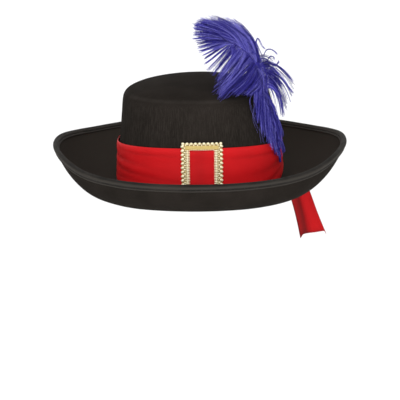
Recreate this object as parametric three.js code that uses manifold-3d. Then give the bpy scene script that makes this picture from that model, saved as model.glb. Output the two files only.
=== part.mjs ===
// Child's feathered felt hat, in millimetres, +Z up.
// The front faces -Y. The origin is the middle of the head opening, level with the side folds
// where the crown turns into the brim.
import * as THREE from 'three';
import { mergeVertices } from 'three/addons/utils/BufferGeometryUtils.js';
import Module from 'manifold-3d';

const wasm = await Module();
wasm.setup();

// Felt body
const FELT = 2; // wall of the pressed felt
const CROWN_HALF_WIDTH = 76.5; // outside of the crown at its foot, side to side
const CROWN_HALF_LENGTH = 92; // and front to back
const PLAN_POWER = 2.3; // 2 would make the plan an ellipse, more makes it squarer
const EVEN_INSET = 14; // as far in as this the crown narrows by the same amount all round
const CROWN_TOP = 98; // height of the middle of the crown
const FOLD_RADIUS = 2.5; // inside corner between crown and brim
const FOLD_REACH = 42; // height up the crown over which its foot follows the folded line
const COLUMNS = 60; // sections round the hat
const FLAT_ROWS = 2; // rows of facets on the flat of the brim
const ROLL_ROWS = 5; // and on its roll
const GAP = 0.3; // clearance between neighbouring pieces

// Crown wall and tip: each row's height, how far it stands in from the foot, and how much farther
// the side under the plume is pressed in.
const CROWN_ROWS = [
  { height: 20, inset: 0.8, pressed: 0 },
  { height: 42, inset: 1.8, pressed: 0.4 },
  { height: 66, inset: 4, pressed: 3.4 },
  { height: 78, inset: 5.4, pressed: 5.8 },
  { height: 83, inset: 8, pressed: 6.2 },
  { height: 86, inset: 12.5, pressed: 5.6 },
  { height: 89.5, inset: 21, pressed: 4.4 },
  { height: 93.5, inset: 37, pressed: 2.8 },
  { height: 96.5, inset: 57, pressed: 1.2 },
];
const PRESSED_ANGLE = 75; // middle of the pressed side, from the front
const PRESSED_SPREAD = 75; // and how far round it reaches to either side

// Brim sections from the front (0) over the side (90) to the back (180), both sides alike:
// height of the fold, width along the felt, slope where it leaves the crown, width that stays
// flat before the roll starts, and slope at the rolled edge. Slopes are in degrees.
const BRIM_SECTIONS = [
  { angle: 0, fold: -4, width: 66.5, root: -4, flat: 20, edge: 81 },
  { angle: 45, fold: -3, width: 67.5, root: -1.5, flat: 23.5, edge: 89 },
  { angle: 90, fold: 0.5, width: 74, root: 3.5, flat: 11.5, edge: 70 },
  { angle: 135, fold: 3, width: 70.5, root: 8, flat: 22.5, edge: 61 },
  { angle: 180, fold: 4, width: 69, root: 10, flat: 23, edge: 67 },
];

// Edge binding: a tape folded over the brim's edge
const BINDING_WIDTH = 5.2; // seen on each face of the brim
const BINDING_TAPE = 0.9;
const BINDING_ROUND = 0.5; // how far its fold bulges past the edge

// Hat band: a soft ribbon with creases along it
const BAND_FOOT = 3; // height of its lower edge above the fold
const BAND_TOP = 39; // height of its upper edge at the sides and back
const BAND_FRONT_RISE = 5.5; // and how much higher that edge lies at the front
// Each crease: the share of the band's height, and how far the cloth's outside stands off the felt.
const BAND_CREASES = [
  { share: 0, stand: 1.7 },
  { share: 0.14, stand: 2.2 },
  { share: 0.34, stand: 1.6 },
  { share: 0.52, stand: 2.1 },
  { share: 0.7, stand: 1.6 },
  { share: 0.9, stand: 2.5 },
  { share: 1, stand: 2.2 },
];

// Buckle: gimp braid folded to a rectangle, with picots along its outer edges
const BUCKLE_MIDDLE = 3.3; // its middle, to the wearer's left of the hat's middle
const BUCKLE_WIDTH = 38.5;
const BUCKLE_HEIGHT = 49;
const BUCKLE_TOP = 50.3; // height of its upper edge
const BUCKLE_BAR = 6.8; // width of the braid without its picots
const BUCKLE_BRAID = 1.4; // thickness of the braid
const BUCKLE_STAND = 3.1; // from the felt to the back of the braid
const PICOTS_ACROSS = 10;
const PICOTS_DOWN = 12;
const PICOT_DEPTH = 1.5;
const PICOT_POINTS = 4;
const OPENING_STEPS = 5; // points along each side of the buckle's opening

// Ribbon end: leaves the band near the back and hangs over the brim's edge
const RIBBON = 1; // thickness of the cloth
const TAIL_ANGLE = 156; // where it leaves the band, from the front
const TAIL_ON_BAND = [0.7, 0.25]; // shares of the band's height where its stitched end lies on it
const TAIL_OFF_BAND = 2.8; // from the felt to the stitched end
const TAIL_COLUMNS = 8;
const TAIL_PLEATS = 2;
// Over the brim: the share of the brim's width, how far the cloth rests off the felt, its seen
// width and the depth of its pleats.
const TAIL_ON_BRIM = [
  { share: 0.09, rest: 0.6, width: 34, pleat: 1 },
  { share: 0.3, rest: 0.6, width: 30, pleat: 3.5 },
  { share: 0.55, rest: 0.6, width: 25, pleat: 5 },
  { share: 0.82, rest: 0.9, width: 20, pleat: 5 },
  { share: 0.96, rest: 2.1, width: 18, pleat: 4.5 },
];
// Hanging: place of the ribbon's middle, its seen width, the depth of its pleats, the turn of its
// width from the hat's side-to-side line, and the tip of its fall from upright, both in degrees.
const TAIL_HANGING = [
  { x: 64.4, y: 136.6, z: 37.4, width: 17, pleat: 4.5, turn: 25, tip: 70 },
  { x: 66.4, y: 139.8, z: 35.6, width: 17, pleat: 5, turn: 25, tip: 30 },
  { x: 68.5, y: 141, z: 27, width: 18, pleat: 6, turn: 26, tip: 0 },
  { x: 81, y: 141, z: 1, width: 19, pleat: 8, turn: 26, tip: 0 },
  { x: 94, y: 140, z: -30, width: 20, pleat: 8.5, turn: 24, tip: 0 },
  { x: 104.8, y: 138, z: -61, width: 22, pleat: 8.5, turn: 22, tip: 0 },
  { x: 113, y: 136, z: -89, width: 27, pleat: 7.5, turn: 20, tip: 0 },
];
const TAIL_CUT_RISE = 5; // the cut end is this much higher at its outer corner

// Plume: its quill, and the quill's route from the band to its tip
const QUILL_BASE_RADIUS = 1.6;
const QUILL_TIP_RADIUS = 0.8;
const QUILL_SIDES = 6;
const QUILL_STEPS = 18;
const QUILL = [
  { x: 75, y: -37.6, z: 22 },
  { x: 74, y: -42, z: 34 },
  { x: 73.2, y: -47.5, z: 45 },
  { x: 69.6, y: -51, z: 59 },
  { x: 63.5, y: -54, z: 76 },
  { x: 58.2, y: -52.5, z: 93 },
  { x: 53.6, y: -50.5, z: 111 },
  { x: 46.5, y: -49, z: 122.5 },
  { x: 36.3, y: -48, z: 130.5 },
  { x: 20.5, y: -47, z: 137.5 },
];

// Pairs of locks from the quill's tip to its base: how far along it they leave it, and where the
// tip of the one over the crown (inner) and of the one away from it (outer) comes to lie.
const LOCKS = [
  { along: 1, inner: [-4, -46, 142], outer: [-3, -45, 148] },
  { along: 0.97, inner: [-1, -47, 135], outer: [0, -44, 154] },
  { along: 0.94, inner: [8, -49, 126], outer: [7, -44, 160] },
  { along: 0.9, inner: [6, -52, 121], outer: [18, -43, 161] },
  { along: 0.86, inner: [7, -56, 116], outer: [30, -42, 160] },
  { along: 0.81, inner: [10, -62, 108], outer: [42, -40, 150] },
  { along: 0.75, inner: [16, -70, 101], outer: [51, -40, 137] },
  { along: 0.69, inner: [15, -82, 90], outer: [58, -38, 128] },
  { along: 0.62, inner: [25, -84, 89], outer: [70, -36, 123] },
  { along: 0.55, inner: [33, -84, 87], outer: [78, -33, 108] },
  { along: 0.48, inner: [41, -79, 90], outer: [87, -30, 94] },
  { along: 0.41, inner: [46, -76, 86], outer: [87, -30, 82] },
  { along: 0.34, inner: [50, -74, 76], outer: [83, -32, 70] },
  { along: 0.27, inner: [54, -71, 66], outer: [80, -35, 62] },
  { along: 0.19, inner: [60, -67, 56], outer: [80, -39, 52] },
  { along: 0.11, inner: [65, -62, 45], outer: [81, -41, 41] },
  { along: 0.03, inner: [73, -52, 31], outer: [79, -40, 27] },
];
const VANE_REACH = 0.64; // share of the locks' length over which the barbs lie closed in a vane
const VANE_THICK = 5; // at the quill
const ROOT_MARGIN = 0.012; // share of the quill that the vane runs past the end locks' roots
// Each layer repeats some of the locks: every which one, from where along the quill, the share of
// their reach, and how far they lean forward.
const LOCK_LAYERS = [
  { every: 1, from: 0, reach: 1, forward: 0 },
  { every: 2, from: 0.06, reach: 0.7, forward: 10 },
  { every: 3, from: 0.55, reach: 0.7, forward: -8 },
];
// A lock's section along its length: the share of the length, its width and its thickness.
const LOCK_SECTIONS = [
  { share: 0, width: 3, thick: 1.6 },
  { share: 0.45, width: 10, thick: 3.4 },
  { share: 0.8, width: 6, thick: 2.2 },
];
const WELD = 0.01; // the joined plume's points nearer than this are one point
const LOCK_SWEEP = 0.45; // how far a lock sets off along the quill, as a share of its reach
const LOCK_TURN = 0.35; // share of its reach where it turns out

const FINISHES = {
  felt: { color: 0x262320, roughness: 0.95, metalness: 0 },
  tape: { color: 0x3b3936, roughness: 0.8, metalness: 0 },
  satin: { color: 0xbb1519, roughness: 0.5, metalness: 0 },
  braid: { color: 0xd9c98a, roughness: 0.4, metalness: 0.7 },
  plume: { color: 0x4138a2, roughness: 0.75, metalness: 0 },
};

const rad = THREE.MathUtils.degToRad;
const lerp = THREE.MathUtils.lerp;
const hat = new THREE.Group();

function addPiece(name, geometry, finish) {
  const mesh = new THREE.Mesh(geometry, new THREE.MeshStandardMaterial(FINISHES[finish]));
  mesh.name = name;
  hat.add(mesh);
}

// Turns a shape's faces outwards where its rings were given the other way round.
function facingOut(points, faces) {
  let volume = 0;
  for (let i = 0; i < faces.length; i += 3) {
    const [a, b, c] = [points[faces[i]], points[faces[i + 1]], points[faces[i + 2]]];
    volume += a.dot(new THREE.Vector3().crossVectors(b, c));
  }
  return volume < 0 ? faces.reverse() : faces;
}

// A closed skin over rings of points. Neighbouring rings are joined all the way round. The two
// end rings either meet each other, run to a point, or are capped straight across.
function skin(rings, { meet = false, first = null, last = null } = {}) {
  const around = rings[0].length;
  const points = rings.flat();
  const faces = [];
  const quad = (a, b, c, d) => faces.push(a, b, c, a, c, d);
  const joins = meet ? rings.length : rings.length - 1;
  for (let row = 0; row < joins; row += 1) {
    const here = row * around;
    const next = ((row + 1) % rings.length) * around;
    for (let column = 0; column < around; column += 1) {
      const beside = (column + 1) % around;
      quad(here + column, here + beside, next + beside, next + column);
    }
  }
  const close = (start, tip, backwards) => {
    const turn = (list) => (backwards ? list.reverse() : list);
    if (tip) {
      points.push(tip);
      for (let column = 0; column < around; column += 1) {
        const beside = (column + 1) % around;
        faces.push(...turn([start + column, start + beside, points.length - 1]));
      }
      return;
    }
    for (let column = 0; column < around / 2 - 1; column += 1) {
      const across = start + around - 1 - column;
      quad(...turn([start + column, start + column + 1, across - 1, across]));
    }
  };
  if (!meet) {
    close(0, first, true);
    close((rings.length - 1) * around, last, false);
  }
  const geometry = new THREE.BufferGeometry().setFromPoints(points);
  geometry.setIndex(facingOut(points, faces));
  return geometry;
}

// Brim values at any angle, on a smooth curve through the table's rows.
function brimAt(angle) {
  const last = BRIM_SECTIONS.length - 1;
  const at = (angle / 180) * last;
  const row = (i) => {
    const wrapped = THREE.MathUtils.euclideanModulo(i, 2 * last);
    return BRIM_SECTIONS[wrapped <= last ? wrapped : 2 * last - wrapped];
  };
  const start = Math.floor(at);
  const t = at - start;
  const value = (column) => {
    const [a, b, c, d] = [-1, 0, 1, 2].map((step) => row(start + step)[column]);
    const bend = (2 * a - 5 * b + 4 * c - d) * t * t + (3 * b - a - 3 * c + d) * t * t * t;
    return 0.5 * (2 * b + (c - a) * t + bend);
  };
  return {
    fold: value('fold'),
    width: value('width'),
    root: rad(value('root')),
    flat: value('flat'),
    edge: rad(value('edge')),
  };
}

// A point of the brim's upper face in its section: flat first, then rolled on a round arc.
function alongBrim(brim, distance) {
  const flat = Math.min(distance, brim.flat);
  const corner = { out: flat * Math.cos(brim.root), up: brim.fold + flat * Math.sin(brim.root) };
  if (distance <= brim.flat) {
    return { ...corner, slope: brim.root };
  }
  const share = (distance - brim.flat) / (brim.width - brim.flat);
  const radius = (brim.width - brim.flat) / (brim.edge - brim.root);
  const slope = lerp(brim.root, brim.edge, share);
  return {
    out: corner.out + radius * (Math.sin(slope) - Math.sin(brim.root)),
    up: corner.up + radius * (Math.cos(brim.root) - Math.cos(slope)),
    slope,
  };
}

// A point stood off the brim's upper face; below the face where the stand is negative.
function offBrim(brim, distance, stand) {
  const { out, up, slope } = alongBrim(brim, distance);
  return { out: out - stand * Math.sin(slope), up: up + stand * Math.cos(slope) };
}

// How strongly the crown is pressed in at an angle, from 0 to 1.
function pressedShare(angle) {
  const away = Math.min(Math.abs(angle - PRESSED_ANGLE) / PRESSED_SPREAD, 1);
  return Math.cos((away * Math.PI) / 2) ** 2;
}

function rowInset({ inset, pressed }, angle) {
  return inset + pressed * pressedShare(angle);
}

function crownInset(height, angle) {
  let below = { height: 0, inset: 0, pressed: 0 };
  for (const row of CROWN_ROWS) {
    if (height <= row.height) {
      const share = (height - below.height) / (row.height - below.height);
      return lerp(rowInset(below, angle), rowInset(row, angle), share);
    }
    below = row;
  }
  return rowInset(below, angle);
}

// Height above the origin of a height measured on the crown, whose foot follows the fold.
function onFold(brim, height) {
  return height + brim.fold * Math.max(0, 1 - height / FOLD_REACH);
}

function halfSizes(inset) {
  const width = CROWN_HALF_WIDTH - inset;
  const even = CROWN_HALF_LENGTH - inset;
  const inner = ((CROWN_HALF_LENGTH - EVEN_INSET) * width) / (CROWN_HALF_WIDTH - EVEN_INSET);
  return { width, length: inset <= EVEN_INSET ? even : inner };
}

// Point of the plan's squared ellipse at an angle from the front.
function planPoint(angle, inset) {
  const { width, length } = halfSizes(inset);
  const bulge = (value) => Math.sign(value) * Math.abs(value) ** (2 / PLAN_POWER);
  return new THREE.Vector2(width * bulge(Math.sin(rad(angle))), -length * bulge(Math.cos(rad(angle))));
}

// A section's point in the hat: inside the crown's foot it lies on a smaller plan, and outside
// it lies straight out from the foot.
function place(angle, { out, up }) {
  if (out <= 0) {
    const inner = planPoint(angle, -out);
    return new THREE.Vector3(inner.x, inner.y, up);
  }
  const foot = planPoint(angle, 0);
  const away = new THREE.Vector2(foot.x / CROWN_HALF_WIDTH ** 2, foot.y / CROWN_HALF_LENGTH ** 2);
  foot.addScaledVector(away.normalize(), out);
  return new THREE.Vector3(foot.x, foot.y, up);
}

const ANGLES = Array.from({ length: COLUMNS }, (_, column) => (360 / COLUMNS) * column);

// One ring round the hat for each point of a section, which is worked out anew at each angle.
function ringsRound(sectionAt) {
  const sections = ANGLES.map((angle) => sectionAt(angle).map((point) => place(angle, point)));
  return sections[0].map((_, row) => sections.map((section) => section[row]));
}

// Upper and outer face of the felt, from the crown's tip down to the fold and out to the edge.
function feltFace(angle) {
  const brim = brimAt(angle);
  const rows = [...CROWN_ROWS].reverse();
  const face = rows.map((row) => ({ out: -rowInset(row, angle), up: onFold(brim, row.height) }));
  const wall = { out: -crownInset(FOLD_RADIUS, angle), up: brim.fold + FOLD_RADIUS };
  const root = alongBrim(brim, FOLD_RADIUS);
  const bend = { out: (wall.out + root.out) / 4, up: (wall.up + root.up + 2 * brim.fold) / 4 };
  face.push(wall, bend, root);
  for (let row = 1; row <= FLAT_ROWS; row += 1) {
    face.push(alongBrim(brim, lerp(FOLD_RADIUS, brim.flat, row / FLAT_ROWS)));
  }
  for (let row = 1; row <= ROLL_ROWS; row += 1) {
    face.push(alongBrim(brim, lerp(brim.flat, brim.width - BINDING_WIDTH, row / ROLL_ROWS)));
  }
  face.push(alongBrim(brim, brim.width));
  return face;
}

// The same section moved to the felt's other face.
function lining(face) {
  return face.map((point, row) => {
    const before = face[row - 1] ?? { out: -CROWN_HALF_WIDTH, up: CROWN_TOP };
    const after = face[row + 1] ?? point;
    const run = new THREE.Vector2(after.out - before.out, after.up - before.up).normalize();
    return { out: point.out + FELT * run.y, up: point.up - FELT * run.x };
  });
}

function feltBody() {
  const rings = ringsRound((angle) => {
    const face = feltFace(angle);
    return [...face, ...lining(face).reverse()];
  });
  const tip = (height) => new THREE.Vector3(0, 0, height);
  return skin(rings, { first: tip(CROWN_TOP), last: tip(CROWN_TOP - FELT) });
}

// Tape folded over the edge: its inner side clears the felt, its outer side has a round fold.
function edgeBinding() {
  const near = GAP;
  const far = GAP + BINDING_TAPE;
  const rings = ringsRound((angle) => {
    const brim = brimAt(angle);
    const hem = brim.width - BINDING_WIDTH;
    return [
      offBrim(brim, hem, near),
      offBrim(brim, brim.width + GAP, near),
      offBrim(brim, brim.width + GAP, -FELT - near),
      offBrim(brim, hem, -FELT - near),
      offBrim(brim, hem, -FELT - far),
      offBrim(brim, brim.width, -FELT - far),
      offBrim(brim, brim.width + far, -FELT - near),
      offBrim(brim, brim.width + far + BINDING_ROUND, -FELT / 2),
      offBrim(brim, brim.width + far, near),
      offBrim(brim, brim.width, far),
      offBrim(brim, hem, far),
    ];
  });
  return skin(rings, { meet: true });
}

function bandHeight(angle, share) {
  const rise = BAND_FRONT_RISE * Math.max(0, Math.cos(rad(angle)));
  return lerp(BAND_FOOT, BAND_TOP + rise, share);
}

function bandPoint(angle, share, stand) {
  const height = bandHeight(angle, share);
  return { out: stand - crownInset(height, angle), up: onFold(brimAt(angle), height) };
}

function hatBand() {
  const backs = [1, 0.5, 0];
  const rings = ringsRound((angle) => [
    ...BAND_CREASES.map(({ share, stand }) => bandPoint(angle, share, stand)),
    ...backs.map((share) => bandPoint(angle, share, GAP)),
  ]);
  return skin(rings, { meet: true });
}

// The braid's outline: a rectangle whose edges run in picots, one small bump after another.
function picots(shape, from, to, count) {
  const away = new THREE.Vector2(to.y - from.y, from.x - to.x).normalize();
  for (let i = 0; i < count; i += 1) {
    for (let j = 0; j < PICOT_POINTS; j += 1) {
      const turn = (Math.PI * j) / PICOT_POINTS;
      const share = (i + (1 - Math.cos(turn)) / 2) / count;
      const point = from.clone().lerp(to, share).addScaledVector(away, PICOT_DEPTH * Math.sin(turn));
      shape.push(point);
    }
  }
}

function rectangle(width, height, middle) {
  const corners = [[-1, -1], [1, -1], [1, 1], [-1, 1]];
  return corners.map(([x, y]) => new THREE.Vector2((x * width) / 2, middle + (y * height) / 2));
}

function buckle() {
  const width = BUCKLE_WIDTH - 2 * PICOT_DEPTH;
  const height = BUCKLE_HEIGHT - 2 * PICOT_DEPTH;
  const outer = rectangle(width, height, 0);
  const outline = [];
  outer.forEach((corner, i) => {
    const across = i % 2 === 0;
    picots(outline, corner, outer[(i + 1) % outer.length], across ? PICOTS_ACROSS : PICOTS_DOWN);
  });
  const opening = [];
  const inner = rectangle(width - 2 * BUCKLE_BAR, height - 2 * BUCKLE_BAR, 0);
  inner.forEach((corner, i) => {
    const next = inner[(i + 1) % inner.length];
    for (let step = 0; step < OPENING_STEPS; step += 1) {
      opening.push(corner.clone().lerp(next, step / OPENING_STEPS));
    }
  });
  const frame = new THREE.Shape(outline);
  frame.holes.push(new THREE.Path(opening));
  const flat = new THREE.ExtrudeGeometry(frame, { depth: BUCKLE_BRAID, bevelEnabled: false });
  flat.deleteAttribute('normal');
  flat.deleteAttribute('uv');
  const bent = mergeVertices(flat);
  const points = bent.attributes.position;
  const brim = brimAt(0);
  for (let i = 0; i < points.count; i += 1) {
    const x = BUCKLE_MIDDLE + points.getX(i);
    const z = BUCKLE_TOP - BUCKLE_HEIGHT / 2 + points.getY(i);
    const crownHeight = (z - brim.fold) / (1 - brim.fold / FOLD_REACH);
    const inset = crownInset(Math.min(crownHeight, FOLD_REACH), 0);
    const plan = halfSizes(inset - BUCKLE_STAND - points.getZ(i));
    const depth = plan.length * (1 - Math.abs(x / plan.width) ** PLAN_POWER) ** (1 / PLAN_POWER);
    points.setXYZ(i, x, -depth, z);
  }
  return bent;
}

// A strip of ribbon across one section: pleated, one cloth thick, and laid where the section says.
function ribbonSection(width, pleat, lay) {
  const line = [];
  for (let column = 0; column <= TAIL_COLUMNS; column += 1) {
    const share = column / TAIL_COLUMNS;
    const lift = (pleat * (1 - Math.cos(2 * Math.PI * TAIL_PLEATS * share))) / 2;
    line.push(new THREE.Vector2(width * (share - 0.5), lift));
  }
  const upper = line.map((point, i) => {
    const run = (line[i + 1] ?? point).clone().sub(line[i - 1] ?? point).normalize();
    return new THREE.Vector2(point.x - RIBBON * run.y, point.y + RIBBON * run.x);
  });
  return [...line, ...upper.reverse()].map((point) => lay(point.x, point.y));
}

function bandTail() {
  const brim = brimAt(TAIL_ANGLE);
  const sideways = (height) => {
    const [a, b] = [-1, 1].map((step) => place(TAIL_ANGLE + step, height));
    return 2 / a.distanceTo(b);
  };
  const sections = [];
  for (const share of TAIL_ON_BAND) {
    const turn = sideways(bandPoint(TAIL_ANGLE, share, 0));
    const lay = (across, lift) => {
      const angle = TAIL_ANGLE - across * turn;
      return place(angle, bandPoint(angle, share, TAIL_OFF_BAND + lift));
    };
    sections.push(ribbonSection(TAIL_ON_BRIM[0].width, 0, lay));
  }
  for (const { share, rest, width, pleat } of TAIL_ON_BRIM) {
    const turn = sideways(alongBrim(brim, share * brim.width));
    const lay = (across, lift) => {
      const angle = TAIL_ANGLE - across * turn;
      const under = brimAt(angle);
      return place(angle, offBrim(under, share * under.width, rest + lift));
    };
    sections.push(ribbonSection(width, pleat, lay));
  }
  TAIL_HANGING.forEach(({ x, y, z, width, pleat, turn, tip }, row) => {
    const cut = row === TAIL_HANGING.length - 1 ? TAIL_CUT_RISE : 0;
    const across = new THREE.Vector3(Math.cos(rad(turn)), -Math.sin(rad(turn)), 0);
    const down = new THREE.Vector3(0, Math.sin(rad(tip)), -Math.cos(rad(tip)));
    const face = new THREE.Vector3().crossVectors(across, down).normalize();
    const lay = (side, lift) => {
      const point = new THREE.Vector3(x, y, z + cut * (side / width));
      return point.addScaledVector(across, side).addScaledVector(face, lift);
    };
    sections.push(ribbonSection(width, pleat, lay));
  });
  return skin(sections);
}

function toSolid(geometry) {
  const merged = mergeVertices(geometry);
  return new wasm.Manifold(new wasm.Mesh({
    numProp: 3,
    vertProperties: new Float32Array(merged.attributes.position.array),
    triVerts: new Uint32Array(merged.index.array),
  }));
}

// The joined solid as a mesh, with points closer than the weld made one and the slivers dropped.
function fromSolid(solid) {
  const { vertProperties, triVerts } = solid.getMesh();
  const geometry = new THREE.BufferGeometry();
  geometry.setAttribute('position', new THREE.BufferAttribute(new Float32Array(vertProperties), 3));
  geometry.setIndex(Array.from(triVerts));
  const welded = mergeVertices(geometry, WELD);
  const corners = welded.index.array;
  const kept = [];
  for (let i = 0; i < corners.length; i += 3) {
    const [a, b, c] = corners.slice(i, i + 3);
    if (a !== b && b !== c && c !== a) {
      kept.push(a, b, c);
    }
  }
  welded.setIndex(kept);
  return welded;
}

const toVector = ({ x, y, z }) => new THREE.Vector3(x, y, z);
const quillRoute = new THREE.CatmullRomCurve3(QUILL.map(toVector));

function quill() {
  const { normals, binormals } = quillRoute.computeFrenetFrames(QUILL_STEPS, false);
  const rings = normals.map((normal, step) => {
    const middle = quillRoute.getPointAt(step / QUILL_STEPS);
    const radius = lerp(QUILL_BASE_RADIUS, QUILL_TIP_RADIUS, step / QUILL_STEPS);
    return Array.from({ length: QUILL_SIDES }, (_, side) => {
      const turn = (2 * Math.PI * side) / QUILL_SIDES;
      return middle.clone()
        .addScaledVector(normal, radius * Math.cos(turn))
        .addScaledVector(binormals[step], radius * Math.sin(turn));
    });
  });
  return skin(rings);
}

// A lock's line: it sets off along the quill, bends and runs out to its tip.
function lockPath(along, tip, layer) {
  const root = quillRoute.getPointAt(along);
  const heading = quillRoute.getTangentAt(along);
  const reach = new THREE.Vector3(...tip).sub(root).multiplyScalar(layer.reach);
  reach.y -= layer.forward;
  const end = root.clone().add(reach);
  const turning = root.clone().addScaledVector(reach, LOCK_TURN)
    .addScaledVector(heading, LOCK_SWEEP * reach.length());
  const path = new THREE.QuadraticBezierCurve3(root, turning, end);
  const face = new THREE.Vector3().crossVectors(heading, reach).normalize();
  return { path, face };
}

// One lock of barbs: a flat blade along that line, which runs out to a point.
function lock({ path, face }) {
  const rings = LOCK_SECTIONS.map(({ share, width, thick }) => {
    const middle = path.getPoint(share);
    const across = new THREE.Vector3().crossVectors(face, path.getTangent(share)).normalize();
    const corner = (direction, size) => middle.clone().addScaledVector(direction, size / 2);
    return [corner(across, width), corner(face, thick), corner(across, -width), corner(face, -thick)];
  });
  return skin(rings, { last: path.v2 });
}

// The closed part of the vane: thickest at the quill, and thin where its locks come apart.
function vane() {
  const [layer] = LOCK_LAYERS;
  const rings = LOCKS.map(({ along, inner, outer }) => {
    const root = quillRoute.getPointAt(along);
    const near = lockPath(along, inner, layer);
    const far = lockPath(along, outer, layer);
    const face = near.face.clone().sub(far.face).normalize();
    const side = (size) => root.clone().addScaledVector(face, size / 2);
    const [inside, outside] = [near, far].map(({ path }) => path.getPoint(VANE_REACH));
    return [inside, side(VANE_THICK), outside, side(-VANE_THICK)];
  });
  return skin(rings);
}

function feather() {
  let plume = toSolid(quill()).add(toSolid(vane()));
  for (const layer of LOCK_LAYERS) {
    const repeated = LOCKS.filter(({ along }, i) => i % layer.every === 0 && along >= layer.from);
    for (const { along, inner, outer } of repeated) {
      const rooted = lerp(ROOT_MARGIN, 1 - ROOT_MARGIN, along);
      for (const tip of [inner, outer]) {
        plume = plume.add(toSolid(lock(lockPath(rooted, tip, layer))));
      }
    }
  }
  // Small voids shut in between crossing locks are filled: only the outer skin is kept.
  const skins = plume.decompose();
  return fromSolid(skins.reduce((largest, each) => (each.volume() > largest.volume() ? each : largest)));
}

addPiece('crown_and_brim', feltBody(), 'felt');
addPiece('edge_binding', edgeBinding(), 'tape');
addPiece('hat_band', hatBand(), 'satin');
addPiece('band_tail', bandTail(), 'satin');
addPiece('buckle', buckle(), 'braid');
addPiece('feather', feather(), 'plume');

export default hat;
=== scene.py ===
# %% [markdown]
# # A child's feathered hat
#
# This lesson dresses a plain solid model of a felt hat until it looks like the real one. The solids
# come first: they hold the sizes, and every new piece is fitted to them. The hat has a pressed felt
# body, a tape bound over its edge, a red ribbon band with a hanging end, a gold braid buckle and a
# curled ostrich plume.

import math
import random

import bmesh
import bpy
from mathutils import Matrix, Vector, noise
from mathutils.bvhtree import BVHTree


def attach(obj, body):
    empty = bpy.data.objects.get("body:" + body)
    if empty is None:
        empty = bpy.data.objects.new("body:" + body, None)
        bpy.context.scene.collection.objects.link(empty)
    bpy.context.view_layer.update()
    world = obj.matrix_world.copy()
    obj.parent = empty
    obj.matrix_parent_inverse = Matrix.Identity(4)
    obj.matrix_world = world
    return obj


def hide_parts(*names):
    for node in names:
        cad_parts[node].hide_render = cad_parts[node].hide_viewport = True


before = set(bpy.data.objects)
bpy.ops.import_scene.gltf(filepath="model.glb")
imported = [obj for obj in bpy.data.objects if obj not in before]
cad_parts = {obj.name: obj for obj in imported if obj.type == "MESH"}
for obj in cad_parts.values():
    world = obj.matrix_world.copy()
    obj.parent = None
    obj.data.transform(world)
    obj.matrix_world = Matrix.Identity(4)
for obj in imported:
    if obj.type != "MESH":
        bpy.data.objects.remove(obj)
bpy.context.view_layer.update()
MM = 0.001
FULL_TURN = 2 * math.pi
print("solids:", sorted(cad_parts))

# %% [markdown]
# ## Camera
#
# The picture was taken from a little above the brim, almost straight from the front, with a long
# lens. The camera stands at that angle. It is turned so that the middle of the hat falls where it
# does in the picture, which leaves the lens unshifted.

# %% Camera
TARGET = Vector((0, 0, 0.045))
CAMERA_DISTANCE = 1.65
CAMERA_YAW = math.radians(1.39)
CAMERA_RISE = math.radians(9.5)
CAMERA_ROLL = math.radians(-0.7)
PICTURE_SIZE = 400
TARGET_PIXEL = (200.5, 131)
FOCAL_PIXELS = 1747.9

toward = Vector((
    math.sin(CAMERA_YAW) * math.cos(CAMERA_RISE),
    -math.cos(CAMERA_YAW) * math.cos(CAMERA_RISE),
    math.sin(CAMERA_RISE),
))
right = (-toward).cross(Vector((0, 0, 1))).normalized()
up = right.cross(-toward)
aside = (TARGET_PIXEL[0] - PICTURE_SIZE / 2) / FOCAL_PIXELS
below = (PICTURE_SIZE / 2 - TARGET_PIXEL[1]) / FOCAL_PIXELS
ahead = (-toward - aside * right - below * up).normalized()
right = ahead.cross(up).normalized()
turn = Matrix((right, right.cross(ahead), -ahead)).transposed() @ Matrix.Rotation(CAMERA_ROLL, 3, "Z")


def add_to_scene(name, data):
    made = bpy.data.objects.new(name, data)
    bpy.context.scene.collection.objects.link(made)
    return made


lens = bpy.data.cameras.new("camera")
lens.lens = FOCAL_PIXELS * lens.sensor_width / PICTURE_SIZE
camera = add_to_scene("camera", lens)
camera.matrix_world = Matrix.Translation(TARGET + CAMERA_DISTANCE * toward) @ turn.to_4x4()
bpy.context.scene.camera = camera
print("lens:", round(lens.lens, 1), "mm")

# %% [markdown]
# ## Form of the hat
#
# The band, the tape and the ribbon all lie on the felt, so they need to know where it is. The felt
# is described by short tables: the crown's rows from foot to tip, and the brim's sections from the
# front over the side to the back. All of these are in millimetres and degrees.

# %% Tables of the felt
CROWN_HALF_WIDTH = 76.5
CROWN_HALF_LENGTH = 92
PLAN_POWER = 2.3
EVEN_INSET = 14
FOLD_REACH = 42
PRESSED_ANGLE = 75
PRESSED_SPREAD = 75
CROWN_ROWS = (
    # height, inset from the foot, farther in under the plume
    (0, 0, 0),
    (20, 0.8, 0),
    (42, 1.8, 0.4),
    (66, 4, 3.4),
    (78, 5.4, 5.8),
)
BRIM_SECTIONS = (
    # height of the fold, width, slope at the root, flat width, slope at the edge
    (-4, 66.5, -4, 20, 81),
    (-3, 67.5, -1.5, 23.5, 89),
    (0.5, 74, 3.5, 11.5, 70),
    (3, 70.5, 8, 22.5, 61),
    (4, 69, 10, 23, 67),
)

# %% The felt's surface
def lerp(a, b, share):
    return a + (b - a) * share


def away_from(middle, angle):
    """How far an angle is past another, from -180 to 180 degrees."""
    return (angle - middle + 180) % 360 - 180


def curve_through(a, b, c, d, t):
    """A smooth curve through four values or four points, between the second and the third."""
    bend = (2 * a - 5 * b + 4 * c - d) * t * t + (3 * b - a - 3 * c + d) * t**3
    return 0.5 * (2 * b + (c - a) * t + bend)


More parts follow.
